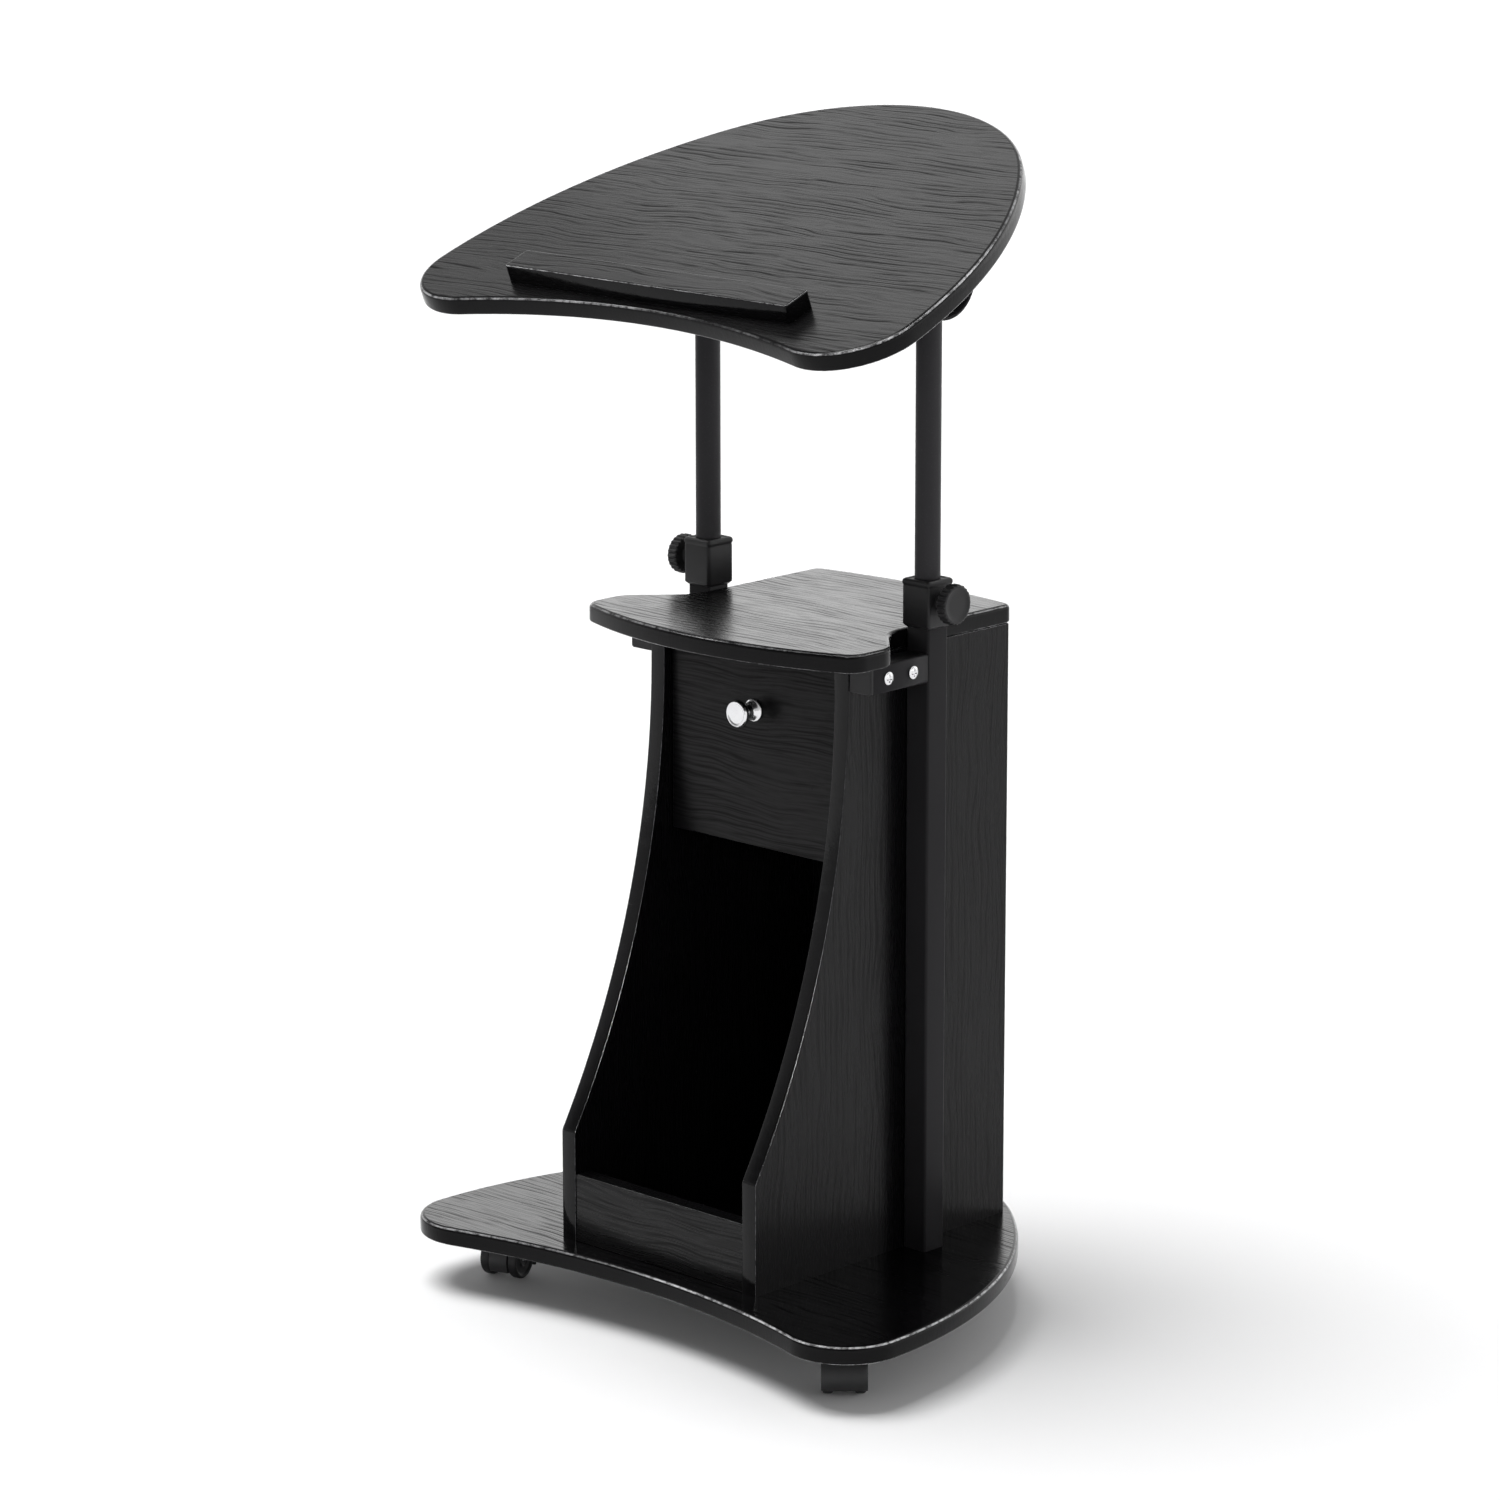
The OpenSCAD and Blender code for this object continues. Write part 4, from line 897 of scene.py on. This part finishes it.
def cheek_outline(top):
    """The cheek in side view: a round end and two straight sides up to the flange."""
    lean = (BRACKET_HALF - CHEEK_HALF) / (DESK_RISE + CHEEK_DROP)
    foot = CHEEK_HALF + lean * CHEEK_DROP          # half width at the height of the pivot
    a, b, c = 1 + lean * lean, 2 * foot * lean, foot * foot - BRACKET_R ** 2
    meet = (-b + math.sqrt(b * b - 4 * a * c)) / (2 * a)
    turn = math.degrees(math.atan2(meet, foot + lean * meet))
    out = arc((0, 0), BRACKET_R, -180 - turn, turn)
    normal, flip = np.array([1, -lean]) / math.hypot(1, lean), np.array([-1, 1])
    straight = [(np.array([foot + lean * h, h]), normal) for h in (top * 0.5, top)]
    return out + straight + [(p * flip, n * flip) for p, n in reversed(straight)]


tube_side = box("right_tube")[1][0] + 0.2
cheek_out = tube_side + BRACKET_T
flange_in, rim_out = low[0], high[0]
width = rim_out - flange_in
SCREW_IN = 12                                     # from the flange's inner end to its screws
cheek_edge = cheek_outline(DESK_RISE - 1)
cheek = plate("cheek", [cheek_edge, circle(4.1, 32), slot_outline()], BRACKET_T, 0.4)
holes = [circle(2.1, 20, (-width / 2 + SCREW_IN, y)) for y in BRACKET_SCREWS]
flange = plate("flange", [rectangle(width, 2 * BRACKET_HALF, 4.0)] + holes, BRACKET_T, 0.4)


def rim(inset, x):
    """A ring of the cheek's turned-out rim."""
    return [(x, y, z) for y, z, _ in shrunk(cheek_edge, inset, 0)]


rim_rings = [rim(0, tube_side + 1.5), rim(0, rim_out - 1.1), rim(0.35, rim_out - 0.35), rim(1.1, rim_out),
             rim(BRACKET_T - 0.6, rim_out), rim(BRACKET_T - 0.1, rim_out - 0.5),
             rim(BRACKET_T, cheek_out + 0.8), rim(BRACKET_T + 0.8, cheek_out - 0.2),
             rim(BRACKET_T, tube_side + 1.5)]
bolts, holders = Build(), Build()
lock_z = joints["right_tilt_lock_turn"]["pos_m"][2] / MM
shank_x = box("right_tilt_knob")[1][0] - 10
for side, m in SIDES:
    place = m @ desk_frame
    part = Build()
    part.add(*cheek, place @ Matrix.Translation((cheek_out - BRACKET_T / 2, 0, 0)) @ AXES["yz"])
    part.loft(rim_rings, place, closed=True)
    part.add(*flange, place @ Matrix.Translation((rim_out - width / 2, 0, DESK_RISE - BRACKET_T / 2)))
    part.piece(side + "_tilt_bracket_pressed", side + "_tilt_bracket")
    thread(bolts, m @ at(shank_x, post_y, lock_z, "x"), cheek_out + 0.2 - shank_x, STUD_D)
    bolts.turn(softened([(0, 0), (7, 0), (7, 1.0), (4.5, 2.4), (0, 2.8)], 0.8),
               m @ at(cheek_out + 0.2, post_y, lock_z, "x"), 40)
    for y in BRACKET_SCREWS:
        screw(holders, place @ at(flange_in + SCREW_IN, y, DESK_RISE - BRACKET_T), 14, 4, 8, 2.5)
bolts.piece("tilt_carriage_bolts", "tilt_bolts")
holders.piece("bracket_cross_screws", "bracket_screws")

ledge_screws = Build()
for x in (-120, 0, 120):
    screw(ledge_screws, desk_frame @ at(x, ledge_mid, DESK_RISE + 3), 23, 4, 8, 2.8, True)
ledge_screws.piece("ledge_sunk_screws", "ledge_screws")

# ------------------------------------------------------------------ fasteners of the cabinet

under = box("base_board")[0][2]
panel_screws, post_bolts = Build(), Build()
HEAD_D = 9                                        # of the panel screws
panel_mid = box("panel_screws")[1][0] - HEAD_D / 2
bolt = softened([(0, -4), (5.5, -3.8), (7.5, -1.2), (7.5, 0), (4, 0), (4, 30), (3.4, 34), (0, 34)], 0.8)
for _, m in SIDES:
    for y in (-125, 0, 125):
        screw(panel_screws, m @ at(panel_mid, y, under + 3), 47, 5, HEAD_D, 3, True)
    post_bolts.turn(bolt, m @ at(post_x, post_y, under), 40)
panel_screws.piece("panel_sunk_screws", "panel_screws")
post_bolts.piece("post_domed_bolts", "post_bolts")

side_low, side_high = box("drawer_right_side")
back_low, back_high = box("drawer_back")
drawer_screws = Build()
back_screw_y = (back_low[1] + back_high[1]) / 2
for _, m in SIDES:
    for z in (side_low[2] + 36, side_low[2] + 96):
        screw(drawer_screws, m @ at(side_high[0] - 3, back_screw_y, z, "-x"), 23, 4, 8, 2.6, True)
front_back = box("drawer_front")[1][1]
screw(drawer_screws, at(0, front_back, pull_z, "-y"), 25, 4, 8, 2.5)
drawer_screws.piece("drawer_cross_screws", "drawer_screws")

# ------------------------------------------------------------------ casters

WHEEL_R, WHEEL_W, WHEEL_GAP, HOOD_HALF = 17.5, 9.0, 18.6, 19.7
WEB_FOOT = 7.0                                    # height of the web's flat foot above the floor
PLATE_S, PLATE_T, TRAIL = 38.0, 2.0, 9.0
STEM_R, STEM_FOOT, STEM_TOP = 3, 38.6, 44         # in the plates' middle
caster_plates, caster_screws = Build(), Build()
plate_top = box("caster_plates")[1][2]
wheel_profile = softened([(2.6, 1.2), (5.2, 1.2), (6.0, 0.2), (7.2, 1.6), (13.4, 1.9), (14.6, 0.3),
                          (16.6, 0.1), (WHEEL_R, 1.6), (WHEEL_R, WHEEL_W - 1.6),
                          (16.6, WHEEL_W - 0.1), (6.0, WHEEL_W - 0.1), (2.6, WHEEL_W - 0.4)], 1.0, 3)
wheel_profile.append(wheel_profile[0])


def shell_section(scale, thin):
    """Closed outline of the fender in the caster's side view, about the axle: (Y, Z) pairs. scale
    draws its outer side in, and thin makes it thinner about its middle line."""
    outer, inner = (WHEEL_R + 3.4) * scale, WHEEL_R + 1.0
    middle = (outer + inner) / 2
    half = (outer - inner) / 2 * thin
    start = 90 - math.degrees(math.asin(min(1, 12 / middle)))
    end = 180 + math.degrees(math.asin((WHEEL_R - 8) / middle))

    def stretch(way, first, last):
        """One side of the fender, outer (way 1) or inner (way -1), and the round tip at its end."""
        ring = [(middle + way * half) * np.array(polar(1, math.radians(t), 0)[:2])
                for t in np.linspace(first, last, 40)]
        tip = (ring[-1] / np.linalg.norm(ring[-1])) * middle
        ring.append(tip + way * half * 0.9 * np.array([-tip[1], tip[0]]) / middle)
        return ring

    return stretch(1, start, end) + stretch(-1, end, start)


def hood(m):
    """Fender over both wheels, crowned across, with the web between them and a round neck."""
    build = Build()
    rings = []
    for x in (-1, -0.985, -0.955, -0.8, -0.5, 0, 0.5, 0.8, 0.955, 0.985, 1):
        thin = {1: 0.35, 0.985: 0.75}.get(abs(x), 1)
        section = shell_section(1 - 0.022 * abs(x) ** 3, thin)
        rings.append([(x * HOOD_HALF, y, z) for y, z in reversed(section)])
    build.loft(rings, m @ at(0, -TRAIL, WHEEL_R))
    web_start = len(build.verts)
    web = softened([(0, -9), (18.2, -9), (18.2, 9), (0, 9)], 1.0)
    build.turn(web, m @ at(0, -TRAIL, WHEEL_R, "x"), 72)
    inverse = m.inverted()
    for i in range(web_start, len(build.verts)):
        p = inverse @ Vector(build.verts[i])
        p.z = max(p.z, WEB_FOOT)
        build.verts[i] = tuple(m @ p)
    neck = softened([(0, 35.0), (12.2, 35.0), (13, 36.5), (13, 42.8), (12.2, 43.5), (0, 43.5)], 0.7)
    return build.turn(neck, m, 48)


for spot in ("front_left", "front_right", "rear_left", "rear_right"):
    swivel = Vector(joints[spot + "_swivel"]["pos_m"]) / MM
    ax = joints[spot + "_roll"]["axis"]
    m = Matrix.Translation((swivel[0], swivel[1], 0)) @ Matrix.Rotation(math.atan2(ax[1], ax[0]), 4, "Z")
    hood(m).piece(spot + "_hood_shell", spot + "_hood")
    wheels = Build()
    for _, flip in SIDES:
        out = flip @ at(WHEEL_GAP / 2 + WHEEL_W, 0, 0, "-x")
        wheels.turn(wheel_profile, m @ at(0, -TRAIL, WHEEL_R) @ out, 72)
    wheels.piece(spot + "_wheels_moulded", spot + "_wheels")
    here = at(swivel[0], swivel[1], 0)
    caster_plates.board(rectangle(PLATE_S, PLATE_S, 4.0), plate_top - PLATE_T, plate_top, 0.3, here, 0.6)
    stem = [(0, STEM_FOOT), (STEM_R, STEM_FOOT), (STEM_R, STEM_TOP), (0, STEM_TOP)]
    caster_plates.turn(stem, here, 24)
    for x in (-14, 14):
        for y in (-14, 14):
            screw(caster_screws, here @ at(x, y, plate_top - PLATE_T), 14, 3.5, 7, 1.2)
caster_plates.piece("caster_base_plates", "caster_plates")
caster_screws.piece("caster_cross_screws", "caster_screws")

# ------------------------------------------------------------------ studio


def make_floor():
    n = new_material("floor_paint")
    n.finish(Base_Color=(0.86, 0.86, 0.865, 1), Roughness=0.9, Specular_IOR_Level=0.1)
    mesh = bpy.data.meshes.new("floor")
    half = 60.0
    corners = [(-half, -half, 0), (half, -half, 0), (half, half, 0), (-half, half, 0)]
    mesh.from_pydata(corners, [], [(0, 1, 2, 3)])
    mesh.materials.append(MATERIALS["floor_paint"])
    new_object("floor", mesh)


def make_world():
    """A bright band near the horizon, as of a lit white wall, under a dimmer ceiling. All of it is
    dimmer on the user's side."""
    world = bpy.context.scene.world = bpy.data.worlds.new("studio")
    n = Nodes(world, "Background")
    _, y, z = n.node("SeparateXYZ", Vector=n.coords["Generated"]).node.outputs
    by_height = n.ramp(z, [(0.0, 0.95), (0.28, 1.0), (0.46, 0.36), (0.72, 0.20), (1.0, 0.12)])
    by_side = n.node("MapRange", Value=y, From_Min=-0.6, From_Max=0.3, To_Min=0.35, To_Max=1.0)
    light = n.node("VectorMath", operation="SCALE", Vector=by_height, Scale=by_side)
    n.finish(Color=light, Strength=1.85)


def make_light(name, kind, energy, rotation, **more):
    data = bpy.data.lights.new(name, kind)
    data.energy = energy
    for key, value in more.items():
        setattr(data, key, value)
    light = new_object(name, data)
    light.rotation_euler = [math.radians(v) for v in rotation]
    return light


make_floor()
make_world()
make_light("top", "SUN", 3.0, (8, -14, 0), angle=math.radians(40))
softbox = make_light("softbox", "AREA", 3.3, (0, 0, 0), shape="RECTANGLE", size=1.5, size_y=1.5)
aim = Vector((0.672, -0.367, -0.643)).to_track_quat("-Z", "Y").to_matrix().to_4x4()
softbox.matrix_world = Matrix.Translation((-0.64, 1.16, 2.20)) @ aim
softbox.visible_diffuse = False
# an arch of small lamps, seen only in the gloss of the rims: direction and strength
LAMPS = ((-0.66, -0.36, 0.66, 0.6), (-0.30, -0.20, 0.93, 0.8), (0.16, -0.17, 0.97, 0.8),
         (0.22, 0.30, 0.93, 0.7), (0.23, 0.70, 0.67, 0.4), (0.27, -0.62, 0.71, 0.7),
         (0.73, -0.62, 0.27, 5.0))
for i, (*direction, strength) in enumerate(LAMPS):
    turn = [math.degrees(v) for v in Vector(direction).to_track_quat("Z", "Y").to_euler()]
    lamp = make_light("lamp_%d" % i, "SUN", strength, turn, angle=math.radians(13))
    lamp.visible_diffuse = False
# the last one, beside the camera, draws the bright line along the side panels' front edges and nothing else
panels = bpy.data.collections.new("panels")
for side, _ in SIDES:
    panels.objects.link(bpy.data.objects[side + "_side_panel_skin"])
lamp.light_linking.receiver_collection = panels
view = bpy.context.scene.view_settings
view.view_transform, view.look = "Standard", "None"
